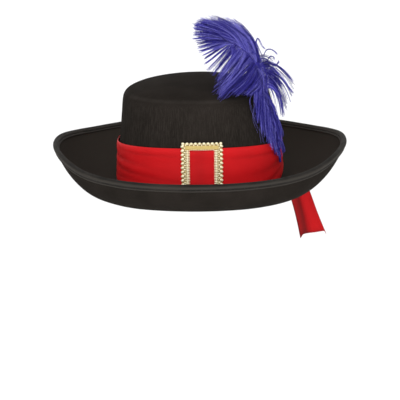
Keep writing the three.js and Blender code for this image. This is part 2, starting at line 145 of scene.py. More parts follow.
def smooth_row(rows, at):
    """The values of a table at a place between its rows, which run on mirrored past its ends."""
    start = math.floor(at)
    last = len(rows) - 1

    def row(i):
        i %= 2 * last
        return rows[i if i <= last else 2 * last - i]

    near = zip(*(row(start + step) for step in (-1, 0, 1, 2)))
    return [curve_through(*values, at - start) for values in near]


def brim_at(angle):
    fold, width, root, flat, edge = smooth_row(BRIM_SECTIONS, angle / 45)
    return fold, width, math.radians(root), flat, math.radians(edge)


def off_brim(brim, distance, stand):
    """A point stood off the brim's upper face: how far out it is, and how far up."""
    fold, width, root, flat, edge = brim
    level = min(distance, flat)
    out = level * math.cos(root)
    rise = fold + level * math.sin(root)
    slope = root
    if distance > flat:
        radius = (width - flat) / (edge - root)
        slope = lerp(root, edge, (distance - flat) / (width - flat))
        out += radius * (math.sin(slope) - math.sin(root))
        rise += radius * (math.cos(root) - math.cos(slope))
    return out - stand * math.sin(slope), rise + stand * math.cos(slope)


def crown_inset(height, angle):
    """How far in from its foot the crown's side is; farther in where the plume presses it."""
    around = abs(away_from(PRESSED_ANGLE, angle))
    pressed = math.cos(min(around / PRESSED_SPREAD, 1) * math.pi / 2) ** 2
    below = CROWN_ROWS[0]
    for row in CROWN_ROWS:
        if height <= row[0]:
            share = (height - below[0]) / max(row[0] - below[0], 1)
            return lerp(below[1] + below[2] * pressed, row[1] + row[2] * pressed, share)
        below = row
    return below[1] + below[2] * pressed


def on_fold(brim, height):
    """A height on the crown's side, which starts at the brim's fold and not at the same level."""
    return height + brim[0] * max(0, 1 - height / FOLD_REACH)


def half_sizes(inset):
    width = CROWN_HALF_WIDTH - inset
    if inset <= EVEN_INSET:
        return width, CROWN_HALF_LENGTH - inset
    return width, (CROWN_HALF_LENGTH - EVEN_INSET) * width / (CROWN_HALF_WIDTH - EVEN_INSET)


def place(angle, out, rise):
    """The point of the hat at an angle from the front: out from the crown's foot, and up."""
    width, length = half_sizes(max(-out, 0))
    sine, cosine = math.sin(math.radians(angle)), math.cos(math.radians(angle))
    x = width * math.copysign(abs(sine) ** (2 / PLAN_POWER), sine)
    y = -length * math.copysign(abs(cosine) ** (2 / PLAN_POWER), cosine)
    if out > 0:
        away = Vector((x / CROWN_HALF_WIDTH**2, y / CROWN_HALF_LENGTH**2)).normalized()
        x += away.x * out
        y += away.y * out
    return Vector((x, y, rise))


print("brim half width:", round(place(90, *off_brim(brim_at(90), 74, 0)).x, 1), "mm")

# %% [markdown]
# ## Making pieces
#
# Each piece is drawn in millimetres in a bmesh, scaled to metres once, and handed to a mesh object
# at the origin. A piece rides on the hat's one body, takes the place of its solid, and takes its
# finish.

# %% Helpers for pieces
def mesh_from(name, bm):
    mesh = bpy.data.meshes.new(name)
    bm.to_mesh(mesh)
    bm.free()
    return mesh


def add_piece(name, mesh, finish, replaced=()):
    mesh.shade_smooth()
    mesh.materials.append(finish)
    piece = add_to_scene(name, mesh)
    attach(piece, "root")
    for node in replaced:
        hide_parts(node)
    return piece


def drawn_piece(name, bm, finish, replaced=()):
    """A piece from a bmesh that was drawn in millimetres."""
    bmesh.ops.scale(bm, vec=(MM, MM, MM), verts=bm.verts)
    return add_piece(name, mesh_from(name, bm), finish, replaced)


def evaluated_mesh(source):
    graph = bpy.context.evaluated_depsgraph_get()
    return bpy.data.meshes.new_from_object(source.evaluated_get(graph))


def settle(piece):
    """Applies the piece's modifiers, so that what is seen is also what is kept."""
    mesh = evaluated_mesh(piece)
    mesh.name = piece.name
    piece.modifiers.clear()
    piece.data = mesh
    triangles = sum(len(face.vertices) - 2 for face in mesh.polygons)
    print(piece.name, "has", triangles, "triangles")


def subdivide(piece, levels):
    modifier = piece.modifiers.new("smooth", "SUBSURF")
    modifier.levels = levels
    modifier.render_levels = levels
    settle(piece)


def thicken(piece, thickness, offset):
    modifier = piece.modifiers.new("cloth", "SOLIDIFY")
    modifier.thickness = thickness * MM
    modifier.offset = offset
    modifier.use_even_offset = True
    settle(piece)


# %% [markdown]
# ## Finishes
#
# Every finish is a node material. One helper sets up the shader, others make a node and join it up in
# one line, and the last ones build the colours: a tone laid over another where a pattern is high. The
# pattern of threads serves both the tape and the satin, so it is a node group of its own. It reads
# a piece's UV map, which runs in metres along and across the cloth.

# %% Helpers for nodes
SHEEN_ROUGHNESS = 0.6


def new_finish(name, roughness, metallic=0.0, specular=0.3, sheen=0.0, sheen_tint=(1, 1, 1, 1)):
    material = bpy.data.materials.new(name)
    material.use_nodes = True
    inputs = material.node_tree.nodes["Principled BSDF"].inputs
    inputs["Roughness"].default_value = roughness
    inputs["Metallic"].default_value = metallic
    inputs["Specular IOR Level"].default_value = specular
    inputs["Sheen Weight"].default_value = sheen
    inputs["Sheen Roughness"].default_value = SHEEN_ROUGHNESS
    inputs["Sheen Tint"].default_value = sheen_tint
    return material, material.node_tree


def give(tree, socket, value):
    """Joins an input to another node's output, or sets its value."""
    if isinstance(value, bpy.types.NodeSocket):
        tree.links.new(value, socket)
    else:
        socket.default_value = value


def add_node(tree, kind, settings=None, **sockets):
    """A node with its settings and its inputs, which go by name or by number, as i0 or i1."""
    node = tree.nodes.new(kind)
    for key, value in (settings or {}).items():
        setattr(node, key, value)
    for key, value in sockets.items():
        numbered = key[0] == "i" and key[1:].isdigit()
        give(tree, node.inputs[int(key[1:]) if numbered else key], value)
    return node


# %% Helpers for patterns
def maths(tree, operation, first, second=0.0):
    return add_node(tree, "ShaderNodeMath", {"operation": operation}, i0=first, i1=second).outputs[0]


def times(tree, first, second):
    return maths(tree, "MULTIPLY", first, second)


def mapped(tree, value, low, high, start=0.0, end=1.0):
    return add_node(tree, "ShaderNodeMapRange", i0=value, i1=low, i2=high, i3=start, i4=end).outputs[0]


def within(tree, value, low, full, still_full, high):
    """1 where a value lies in a range, and less towards its ends."""
    return times(tree, mapped(tree, value, low, full), mapped(tree, value, high, still_full))


def object_coords(tree):
    return add_node(tree, "ShaderNodeTexCoord").outputs["Object"]


def uv_coords(tree):
    return add_node(tree, "ShaderNodeUVMap", {"uv_map": "UVMap"}).outputs[0]


def attribute(tree, name):
    return add_node(tree, "ShaderNodeAttribute", {"attribute_name": name}).outputs["Fac"]


def noise_of(tree, scale, detail=2.0, stretch=None, where=None):
    if where is None:
        where = object_coords(tree)
    if stretch:
        where = add_node(tree, "ShaderNodeMapping", Vector=where, Scale=stretch).outputs[0]
    return add_node(tree, "ShaderNodeTexNoise", Vector=where, Scale=scale, Detail=detail).outputs["Fac"]


# %% Helpers for colours
def rgb(code):
    """A colour from its code, in the linear values that shaders use."""
    parts = [int(code[i : i + 2], 16) / 255 for i in (0, 2, 4)]
    return (*[((part + 0.055) / 1.055) ** 2.4 for part in parts], 1.0)


def mixed(tree, share, first, second):
    """A colour between two others; each may be a colour or a socket."""
    node = add_node(tree, "ShaderNodeMix", {"data_type": "RGBA"}, i0=share, i6=first, i7=second)
    return node.outputs[2]


def tinted(tree, colour, pattern, low, high, most, tone):
    """Lays a tone over a colour where a pattern is high; most is its greatest share."""
    return mixed(tree, mapped(tree, pattern, low, high, 0, most), colour, rgb(tone))


def finished(tree, colour, height=None, strength=0.0, depth=0.0):
    """Gives the shader its colour, and a relief if there is a height."""
    inputs = tree.nodes["Principled BSDF"].inputs
    give(tree, inputs["Base Color"], colour)
    if height is not None:
        bump = add_node(tree, "ShaderNodeBump", Height=height, Strength=strength, Distance=depth)
        give(tree, inputs["Normal"], bump.outputs["Normal"])


def grained(name, roughness, grain, limits, tones, relief=None, **looks):
    """A finish of two tones, mixed by a grain that is given by its scale, detail and stretch."""
    material, tree = new_finish(name, roughness, **looks)
    pattern = noise_of(tree, *grain)
    colour = mixed(tree, mapped(tree, pattern, *limits), rgb(tones[0]), rgb(tones[1]))
    if relief:
        finished(tree, colour, pattern, *relief)
    else:
        finished(tree, colour)
    return material


# %% A node group for threads
threads = bpy.data.node_groups.new("threads", "ShaderNodeTree")
for name in ("Along per metre", "Across per metre"):
    threads.interface.new_socket(name, in_out="INPUT", socket_type="NodeSocketFloat")
threads.interface.new_socket("Height", in_out="OUTPUT", socket_type="NodeSocketFloat")
per_metre = add_node(threads, "NodeGroupInput").outputs
metres = add_node(threads, "ShaderNodeSeparateXYZ", Vector=uv_coords(threads)).outputs
waves = []
for axis in (0, 1):
    turns = times(threads, metres[axis], per_metre[axis])
    waves.append(maths(threads, "SINE", times(threads, turns, FULL_TURN)))
add_node(threads, "NodeGroupOutput", Height=mapped(threads, times(threads, *waves), -1.0, 1.0))


def thread_height(tree, along, across):
    return add_node(tree, "ShaderNodeGroup", {"node_tree": threads}, i0=along, i1=across).outputs[0]


# %% [markdown]
# Pressed felt is matt, nearly black, and a little warm. Its fibres give it a fine grain, and the
# steam press draws them out into faint upright streaks on the crown's side. The crown's rim is
# painted a little paler, as a highlight along its edge, and the brim's upper face is a little paler
# too, as the picture shows it.

# %% Felt
felt, tree = new_finish("black_felt", 0.95, specular=0.02)
fibres = noise_of(tree, 1500, 4)
streaks = noise_of(tree, 1100, 3, stretch=(1, 1, 0.07))
mottle = noise_of(tree, 38, 3)
level = add_node(tree, "ShaderNodeSeparateXYZ", Vector=object_coords(tree)).outputs[2]
on_crown = within(tree, level, 0.03, 0.045, 0.078, 0.084)
streaked = times(tree, on_crown, mapped(tree, streaks, 0.45, 0.62))
colour = mixed(tree, mapped(tree, mottle, 0.3, 0.7), rgb("1D1A17"), rgb("24201D"))
colour = mixed(tree, times(tree, streaked, 0.3), colour, rgb("34302C"))
colour = tinted(tree, colour, fibres, 0.58, 0.7, 0.3, "3C3733")
# painted highlight: a paler line along the crown's rim
on_rim = within(tree, level, 0.083, 0.0845, 0.0855, 0.087)
painted_rim_highlight = times(tree, on_rim, mapped(tree, mottle, 0.3, 0.6, 0.02, 0.13))
colour = mixed(tree, painted_rim_highlight, colour, rgb("4A4642"))
colour = mixed(tree, attribute(tree, "upper"), colour, rgb("2D2925"))
height = maths(tree, "ADD", fibres, times(tree, streaked, 0.5))
finished(tree, colour, height, 0.35, 0.0004)

# %% [markdown]
# The binding is a dark grey woven tape with fine ribs across it. Its ridges are painted lighter, as
# highlights where they catch the light, and the groove between them is painted darker, as shade.

# %% Tape and its stitches
tape, tree = new_finish("binding_tape", 0.8, specular=0.1, sheen=0.05, sheen_tint=rgb("A09C96"))
ribs = thread_height(tree, 1500, 2500)
# painted light: the relief attribute lightens the tape's ridges and darkens its groove
colour = mixed(tree, mapped(tree, attribute(tree, "relief"), 0.45, 1.0), rgb("12100E"), rgb("302D29"))
colour = tinted(tree, colour, noise_of(tree, 60, 3), 0.35, 0.75, 0.5, "322E2A")
colour = tinted(tree, colour, ribs, 0.5, 1.0, 0.2, "3A3632")
finished(tree, colour, ribs, 0.4, 0.0002)
stitching = grained("stitching_thread", 0.7, (2500, 2), (0.35, 0.65), ("1B1A19", "353230"))

# %% [markdown]
# The band and its end are a soft red satin. Its threads are too fine to see one by one, so a
# faint grain along the ribbon does the work, and painted shade darkens the satin in its creases and
# folds.

# %% Satin
satin, tree = new_finish("red_satin", 0.6, specular=0.12, sheen=0.03, sheen_tint=rgb("FF5A50"))
uv = uv_coords(tree)
slubs = noise_of(tree, 420, 3, stretch=(0.12, 1, 1), where=uv)
colour = tinted(tree, rgb("BC0D13"), noise_of(tree, 45, where=uv), 0.35, 0.7, 0.35, "A80C11")
colour = tinted(tree, colour, slubs, 0.55, 0.75, 0.25, "CC181C")
# painted shade: the relief attribute darkens the satin in creases and folds
colour = mixed(tree, mapped(tree, attribute(tree, "relief"), 0.0, 1.0), rgb("68080A"), colour)
height = maths(tree, "ADD", thread_height(tree, 1800, 2600), times(tree, slubs, 1.5))
finished(tree, colour, height, 0.3, 0.00015)

# %% [markdown]
# The braid is gold thread wound round cord. Its high spots are painted pale, as small highlights
# where it shines, and it is brown in between. The flat strip is ribbed and duller, and the net under
# the beads is brown braid that also paints the shade in the gaps between them.

# %% Gold braid
braid, tree = new_finish("gold_braid", 0.4, metallic=0.2, specular=0.5)
winding = noise_of(tree, 1800)
# painted highlight: the winding's high spots are mixed towards a near-white gold
colour = mixed(tree, mapped(tree, winding, 0.35, 0.65), rgb("E4D29C"), rgb("FFFAE4"))
colour = tinted(tree, colour, noise_of(tree, 350, 3), 0.5, 0.8, 0.25, "A88F4C")
finished(tree, colour, winding, 0.5, 0.0003)
ribbed = grained(
    "gold_strip", 0.45, (1500, 3), (0.3, 0.7), ("A88F48", "CFB876"), relief=(0.6, 0.0003),
    metallic=0.25, specular=0.4,
)
# the net is braid under the beads and also a dark sheet that paints the shade in their gaps
net_and_gap_shade = grained("gold_net", 0.7, (1200, 3), (0.35, 0.7), ("665228", "BCA66C"), specular=0.2)

# %% [markdown]
# The plume is dyed a strong blue-violet. Each barb carries a tone of its own, from dark near the
# quill to pale at a few loose ends. This is partly uneven dye and partly painted light: pale
# strands stand for highlights, and darker bunches for the shade between them.

# %% Plume
plume, tree = new_finish("dyed_plume", 0.6, specular=0.15, sheen=0.08, sheen_tint=rgb("8078F0"))
tone = attribute(tree, "tone")
colour = mixed(tree, mapped(tree, tone, 0.0, 0.55), rgb("1B1768"), rgb("433DA6"))
# painted highlight: the highest tones turn a pale lavender
colour = tinted(tree, colour, tone, 0.55, 1.0, 1, "8480D8")
colour = tinted(tree, colour, noise_of(tree, 90), 0.45, 0.75, 0.3, "302890")
finished(tree, colour)
quill_horn = grained(
    "dyed_quill", 0.5, (700, 2, (1, 1, 0.1)), (0.3, 0.7), ("1E1860", "3A3388"), specular=0.15
)
print("finishes:", len(bpy.data.materials))

# %% [markdown]
# ## Felt body
#
# The felt's solid is already the right shape, but it is faceted. A copy of it is merged, its
# triangles are paired up into quads, and a subdivision surface rounds it into one smooth sheet
# that turns over at the edge. Such a surface shrinks away from its cage where that bends, so the cage
# is first pushed out until the rounded sheet passes through the solid's own corners. The crown's
# upper edge is pressed a little squarer, as the block does it, and the felt gets a slight
# unevenness, as hand-pressed felt has. The brim's upper face is marked for its paler colour.

# %% Felt body
def place_out(co):
    """How far, in millimetres, a point is outside the crown's foot, along the width."""
    x, y = abs(co.x) / (CROWN_HALF_WIDTH * MM), abs(co.y) / (CROWN_HALF_LENGTH * MM)
    return CROWN_HALF_WIDTH * ((x**PLAN_POWER + y**PLAN_POWER) ** (1 / PLAN_POWER) - 1)


UNEVEN = 0.35
UNEVEN_SIZE = 38
PRESS_FROM = 60
CROWN_EDGE = 84
PRESS_UP = 1.3
PRESS_OUT = 0.7
PRESS_SPREAD = 8
TOP_RADIUS = 55  # nearer to the axis than this, the crown's top isn't pressed out
HOLD_ROUNDS = 2
HOLD_SHARE = 0.8
BRIM_BELOW = 0.058
held = {}

bm = bmesh.new()
bm.from_mesh(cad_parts["crown_and_brim"].data)
bmesh.ops.remove_doubles(bm, verts=bm.verts, dist=1e-5)
bmesh.ops.join_triangles(
    bm,
    faces=bm.faces,
    angle_face_threshold=math.radians(60),
    angle_shape_threshold=math.radians(80),
)
bmesh.ops.scale(bm, vec=(1 / MM, 1 / MM, 1 / MM), verts=bm.verts)
for vert in bm.verts:
    share = min(max((vert.co.z - PRESS_FROM) / (CROWN_EDGE - PRESS_FROM), 0), 1)
    out = vert.co.xy.length
    on_side = out > TOP_RADIUS
    press = PRESS_OUT * math.exp(-(((vert.co.z - CROWN_EDGE) / PRESS_SPREAD) ** 2)) * on_side
    vert.co.x += press * vert.co.x / max(out, 1)
    vert.co.y += press * vert.co.y / max(out, 1)
    vert.co.z += PRESS_UP * share + UNEVEN * noise.noise(vert.co / UNEVEN_SIZE)
felt_body = drawn_piece("felt_body", bm, felt, ["crown_and_brim"])
felt_body.modifiers.new("smooth", "SUBSURF")
for _ in range(HOLD_ROUNDS):
    bpy.context.view_layer.update()
    rounded = felt_body.evaluated_get(bpy.context.evaluated_depsgraph_get()).data
    for vert, moved in zip(felt_body.data.vertices, [v.co.copy() for v in rounded.vertices]):
        wanted = held.setdefault(vert.index, vert.co.copy())
        vert.co += HOLD_SHARE * (wanted - moved)
felt_body.modifiers.clear()
subdivide(felt_body, 2)
upper = felt_body.data.attributes.new("upper", "FLOAT", "POINT")
for vert in felt_body.data.vertices:
    on_brim = vert.co.z < BRIM_BELOW and place_out(vert.co) > 1
    upper.data[vert.index].value = min(max(vert.normal.z * 2, 0), 1) * on_brim

# %% [markdown]
# ## Ring pieces
#
# The tape and the band both run round the hat with a section that changes a little on the way. A
# strip of vertices, each 1 farther from the axis than the one before, is spun a full turn. After
# the spin a vertex's distance from the axis says which row of the section it is, and its angle says
# where round the hat it belongs, so it can be moved to its place. The UV map is laid out at the same
# time: along the hat, and across the section.

# %% Spin a section and lay it on the hat
STRIP_START = 10


def spun_ring(rows, columns, closed, put):
    """A ring of rows by columns; put(row, angle) gives each vertex's place, across and relief, the
    painted light and shade of its colour.
    """
    bm = bmesh.new()
    strip = [bm.verts.new((0, -STRIP_START - row, 0)) for row in range(rows)]
    edges = [bm.edges.new(pair) for pair in zip(strip, strip[1:])]
    if closed:
        edges.append(bm.edges.new((strip[-1], strip[0])))
    bmesh.ops.spin(
        bm,
        geom=strip + edges,
        cent=(0, 0, 0),
        axis=(0, 0, 1),
        angle=FULL_TURN,
        steps=columns,
        use_merge=True,
    )
    uv_layer = bm.loops.layers.uv.new("UVMap")
    # the relief layer holds painted light and shade for the colour, not a bump
    painted_light_layer = bm.verts.layers.float.new("relief")
    found = {}
    for vert in bm.verts:
        row = round(vert.co.xy.length) - STRIP_START
        angle = math.degrees(math.atan2(vert.co.x, -vert.co.y)) % 360
        found[vert] = (angle, *put(row, angle))
    around = sum(place(angle, 0, 0).length for angle in range(360)) * math.radians(1)
    for face in bm.faces:
        angles = [found[vert][0] for vert in face.verts]
        wraps = max(angles) - min(angles) > 180
        for loop in face.loops:
            angle, _, across, _ = found[loop.vert]
            if wraps and angle < 180:
                angle += 360
            loop[uv_layer].uv = (angle / 360 * around * MM, across * MM)
    for vert, (_, spot, _, relief) in found.items():
        vert.co = spot
        vert[painted_light_layer] = relief
    bmesh.ops.recalc_face_normals(bm, faces=bm.faces)
    return bm


# %% [markdown]
# ## Edge binding
#
# The tape is folded over the felt's edge. It is woven with a cord along each side, so it shows two
# ridges with a groove between them on each face of the brim, and a row of stitches lies in the
# groove. The section below goes once round it: under the upper side, round the back and over the
# outside. Each row says how far past the felt's edge it is, and how far off the brim's face.

# %% Tape
TAPE_SECTION = (
    # past the felt's edge, stand off the upper face, relief for the colour (painted highlight on the
    # ridges, painted shade in the groove)
    (-4.6, 0.3, 0.2),
    (-2.5, 0.3, 0.2),
    (0.3, 0.3, 0.2),
    (0.3, -2.3, 0.2),
    (-2.5, -2.3, 0.2),
    (-4.4, -2.3, 0.2),
    (-4.6, -2.7, 0.6),
    (-4.3, -3.2, 1.0),
    (-3.7, -3.4, 1.0),
    (-3.1, -3.1, 0.4),
    (-2.7, -2.85, 0.3),
    (-2.3, -3.1, 0.4),
    (-1.6, -3.5, 1.0),
    (-0.7, -3.5, 1.0),
    (0.4, -3.25, 0.6),
    (1.2, -2.6, 0.5),
    (1.6, -1.8, 0.7),
    (1.7, -1.0, 0.8),
    (1.6, -0.2, 0.7),
    (1.2, 0.6, 0.5),
    (0.4, 1.25, 0.6),
    (-0.7, 1.5, 1.0),
    (-1.8, 1.5, 1.0),
    (-2.4, 1.15, 0.5),
    (-2.8, 0.9, 0.0),
    (-3.2, 1.15, 0.5),
    (-3.8, 1.45, 1.0),
    (-4.5, 1.3, 1.0),
    (-4.8, 0.75, 0.6),
)
TAPE_INNER_ROWS = 6  # these lie against the felt, out of sight
TAPE_WAVER = 0.18
TAPE_RIM = 0.5  # farther past the felt's edge than this, the tape is painted darker, as shade on its outer turn
RIM_SHADE = 0.3
TAPE_COLUMNS = 240
tape_across = [0]
for (out, stand, _), (next_out, next_stand, _) in zip(TAPE_SECTION, TAPE_SECTION[1:]):
    tape_across.append(tape_across[-1] + math.hypot(next_out - out, next_stand - stand))


def tape_point(angle, past, stand):
    brim = brim_at(angle)
    return place(angle, *off_brim(brim, brim[1] + past, stand))


def put_tape(row, angle):
    past, stand, relief = TAPE_SECTION[row]
    # painted shade on the tape's outer turn over the edge
    relief -= RIM_SHADE * (past > TAPE_RIM)
    if row >= TAPE_INNER_ROWS:
        past += TAPE_WAVER * noise.noise(Vector((angle / 9, row / 5, 3)))
    return tape_point(angle, past, stand), tape_across[row], relief


bm = spun_ring(len(TAPE_SECTION), TAPE_COLUMNS, True, put_tape)
edge_tape = drawn_piece("edge_tape", bm, tape, ["edge_binding"])
subdivide(edge_tape, 1)

# %% Stitches along the tape's groove
STITCH_COUNT = 300
STITCH_LENGTH = 1.9
STITCH_THICK = 0.42
GROOVES = ((-2.8, 0.85), (-2.7, -2.8))

bm = bmesh.new()
for groove, stand in GROOVES:
    for stitch in range(STITCH_COUNT):
        angle = 360 * stitch / STITCH_COUNT
        spot = tape_point(angle, groove, stand)
        after = tape_point(angle + 0.5, groove, stand)
        away = tape_point(angle, groove, stand * 1.5) - spot
        along = (after - spot).normalized()
        outward = (away - away.dot(along) * along).normalized()
        facing = Matrix((along, outward.cross(along), outward)).transposed().to_4x4()
        size = Matrix.Diagonal((STITCH_LENGTH / 2, STITCH_THICK / 2, STITCH_THICK / 2, 1))
        bmesh.ops.create_icosphere(
            bm, subdivisions=1, radius=1, matrix=Matrix.Translation(spot) @ facing @ size
        )
drawn_piece("tape_stitches", bm, stitching)
print("tape stitches:", STITCH_COUNT * len(GROOVES))

# %% [markdown]
# ## Hat band
#
# The band is one soft ribbon round the crown's foot. It isn't drawn tight, so long shallow creases
# run along it, deeper towards the sides. Its upper and lower edges roll in against the felt, and on
# the plume's side the lower one rides up. It is a sheet of cloth: one layer is laid on the crown
# first, and then it gets its thickness.

# %% Band
BAND_FOOT = 3
BAND_TOP = 39
BAND_FRONT_RISE = 5.5
BAND_SIDE_LIFT = (92, 26, 5.6)  # where the lower edge rides up: its angle, reach, height
BAND_CLOTH = 0.6
BAND_LEAST = 0.5  # its inside stays at least this far off the felt
BAND_RIPPLE = 0.18
CREASE_WANDER = 0.02
CREASE_LIP = 0.45  # how high the cloth stands up beside a crease, as a share of its depth
BAND_EDGE = 0.08  # share of the height in which creases and ripples fade out
BAND_FLAT = (0.044, 0.55)
BAND_ROWS = 32
BAND_COLUMNS = 240
BAND_STANDS = (
    # share of the height, how far the outside stands off the felt
    (0, 1.5),
    (0.03, 1.9),
    (0.14, 2.25),
    (0.34, 1.95),
    (0.52, 2.15),
    (0.7, 1.95),
    (0.9, 2.45),
    (0.97, 2.2),
    (1, 1.5),
)
BAND_CREASES = (
    # angle where it is deepest, share of the height there, slant per degree, reach, depth, width
    (285, 0.72, -0.0035, 38, 0.3, 0.045),
    (300, 0.45, -0.0028, 45, 0.35, 0.05),
    (280, 0.22, 0.0012, 40, 0.35, 0.045),
    (322, 0.86, -0.0015, 35, 0.25, 0.035),
    (60, 0.2, 0.0035, 30, 0.3, 0.045),
    (72, 0.5, 0.002, 35, 0.25, 0.05),
    (48, 0.78, -0.001, 28, 0.25, 0.04),
    (115, 0.65, 0.002, 45, 0.7, 0.05),
    (130, 0.33, -0.0015, 45, 0.7, 0.045),
    (185, 0.55, 0.001, 55, 0.7, 0.05),
    (200, 0.25, 0.0015, 45, 0.6, 0.045),
    (225, 0.75, -0.0015, 45, 0.7, 0.05),
    (240, 0.4, 0.001, 40, 0.7, 0.045),
)
FRONT_DIP = (1.5, 3.2, 0.15)  # a shallow upright hollow inside the buckle: its middle, width, depth

# %% Lay the band
def band_stand(angle, share):
    """How far the band's outside stands off the felt, and how deep it is creased there."""
    for (low, near), (high, far) in zip(BAND_STANDS, BAND_STANDS[1:]):
        if share <= high:
            t = (share - low) / (high - low)
            stand = lerp(near, far, t * t * (3 - 2 * t))
            break
    crease = 0
    for middle, level, slant, reach, depth, width in BAND_CREASES:
        away = away_from(middle, angle)
        wander = CREASE_WANDER * math.sin(math.radians(away * 5 + middle))
        off = (share - level - slant * away - wander) / width
        hollow = math.exp(-off * off) - CREASE_LIP * math.exp(-((off - 2) ** 2))
        crease += depth * math.exp(-((away / reach) ** 2)) * hollow
    ripple = BAND_RIPPLE * noise.noise(Vector((angle / 14, share * 5, 0)))
    soft = min(min(share, 1 - share) / BAND_EDGE, 1)
    middle, width, depth = FRONT_DIP
    aside = math.radians(away_from(0, angle)) * CROWN_HALF_WIDTH - middle
    dip = depth * math.exp(-((aside / width) ** 2))
    return stand + soft * (ripple - crease - dip), crease + dip


def put_band(row, angle):
    share = row / (BAND_ROWS - 1)
    rise = BAND_FRONT_RISE * max(0, math.cos(math.radians(angle)))
    middle, reach, lift = BAND_SIDE_LIFT
    foot = BAND_FOOT + lift * math.exp(-(((angle - middle) / reach) ** 2))
    height = lerp(foot, BAND_TOP + rise, share)
    stand, crease = band_stand(angle, share)
    stand = max(stand, BAND_LEAST + BAND_CLOTH)
    spot = place(angle, stand - crown_inset(height, angle), on_fold(brim_at(angle), height))
    # the last value is painted shade: darker where the band is creased or dips at the front
    return spot, share * (BAND_TOP - BAND_FOOT), 1 - min(max(crease, 0), 1)


def print_cloth(piece, flat):
    laid = sum(face.area for face in piece.data.polygons)
    cut = flat[0] * flat[1]
    print(piece.name, "cloth:", round(laid * 1e4, 1), "cm2 of", round(cut * 1e4, 1), "that were cut")


bm = spun_ring(BAND_ROWS, BAND_COLUMNS, False, put_band)
band = drawn_piece("ribbon_band", bm, satin, ["hat_band"])
print_cloth(band, BAND_FLAT)
thicken(band, BAND_CLOTH, -1)
subdivide(band, 1)

# %% [markdown]
# ## Ribbon end
#
# One end of the band is left long. It is stitched flat on the band near the back, gathers into two
# soft pleats as it goes over the brim, and hangs down behind. Below the brim the pleats are flatter
# and one side turns away into shade. Its middle line and its pleats come from the same short tables
# as the solid's. A grid is laid along them, thickened and smoothed.

# %% Tables of the ribbon end
TAIL_ANGLE = 156
TAIL_PLEATS = 2
TAIL_MIDDLE = 0.5
TAIL_CLOTH = 0.6
TAIL_ON_BAND = (0.72, 0.5, 0.25)
TAIL_OFF_BAND = 2.8
TAIL_ON_BRIM = (
    # share of the brim's width, rest off the felt, seen width, depth of the pleats
    (0.09, 0.6, 34, 1),
    (0.3, 0.6, 30, 3.5),
    (0.55, 0.6, 25, 5),
    (0.82, 0.9, 20, 5),
    (0.96, 2.1, 18, 4.5),
)
TAIL_HANGING = (
    # x, y, z of the middle, seen width, depth of the pleats, turn of its width, tip of its fall
    (64.4, 136.6, 37.4, 17, 4.5, 25, 70),
    (66.4, 139.8, 35.6, 17, 5, 25, 30),
    (67.9, 141, 27, 19.5, 4, 26, 0),
    (79.9, 141, 1, 21.2, 3.5, 26, 0),
    (92.9, 140, -30, 22.2, 3.5, 24, 0),
    (103.8, 138, -61, 24, 3.5, 22, 0),
    (112, 136, -86, 27.6, 3.2, 20, 0),
)
TAIL_CUT_RISE = 6
FOLD_TOP = 0.2  # where across the ribbon its one side turns away, at the brim and at the cut end
FOLD_END = -0.3
FOLD_SLOPE = 15
FOLD_FORWARD = 4
PLEATS_HANGING = 0.3  # how much of the pleats is left below the brim

# %% Lines down the ribbon end
def degrees_per_mm(out, rise):
    return 2 / (place(TAIL_ANGLE + 1, out, rise) - place(TAIL_ANGLE - 1, out, rise)).length


def pleat_lift(pleat, across):
    return pleat * (1 - math.cos(FULL_TURN * TAIL_PLEATS * (across + 0.5))) / 2


def tail_on_band(share, across):
    height = lerp(BAND_FOOT, BAND_TOP, share)
    turn = degrees_per_mm(-crown_inset(height, TAIL_ANGLE), 0)
    angle = TAIL_ANGLE - across * TAIL_ON_BRIM[0][2] * turn
    out = TAIL_OFF_BAND + TAIL_MIDDLE - crown_inset(height, angle)
    return place(angle, out, on_fold(brim_at(angle), height))


def tail_on_brim(section, across):
    share, rest, width, pleat = section
    middle = brim_at(TAIL_ANGLE)
    turn = degrees_per_mm(*off_brim(middle, share * middle[1], 0))
    angle = TAIL_ANGLE - across * width * turn
    brim = brim_at(angle)
    stand = rest + TAIL_MIDDLE + pleat_lift(pleat, across)
    return place(angle, *off_brim(brim, share * brim[1], stand))


def tail_hanging(row, across):
    x, y, z, width, pleat, turn, tip = TAIL_HANGING[row]
    last = len(TAIL_HANGING) - 1
    turn, tip = math.radians(turn), math.radians(tip)
    side = Vector((math.cos(turn), -math.sin(turn), 0))
    face = side.cross(Vector((0, math.sin(tip), -math.cos(tip)))).normalized()
    past_fold = max(0, lerp(FOLD_TOP, FOLD_END, row / last) - across)
    lift = TAIL_MIDDLE + pleat_lift(pleat, across) * PLEATS_HANGING
    lift += min(row / 3, 1) * (FOLD_FORWARD - FOLD_SLOPE * past_fold**1.2)
    cut = Vector((0, 0, TAIL_CUT_RISE * across)) * (row == last)
    return Vector((x, y, z)) + side * (across * width) + face * lift + cut


def tail_line(across):
    """Points down the ribbon end's length at one place across it, from -0.5 to 0.5."""
    return [
        *(tail_on_band(share, across) for share in TAIL_ON_BAND),
        *(tail_on_brim(section, across) for section in TAIL_ON_BRIM),
        *(tail_hanging(row, across) for row in range(len(TAIL_HANGING))),
    ]


def along_points(points, at):
    """A place between points, on a smooth curve through them."""
    last = len(points) - 1
    start = min(math.floor(at), last - 1)
    near = (points[min(max(start + step, 0), last)] for step in (-1, 0, 1, 2))
    return curve_through(*near, at - start)


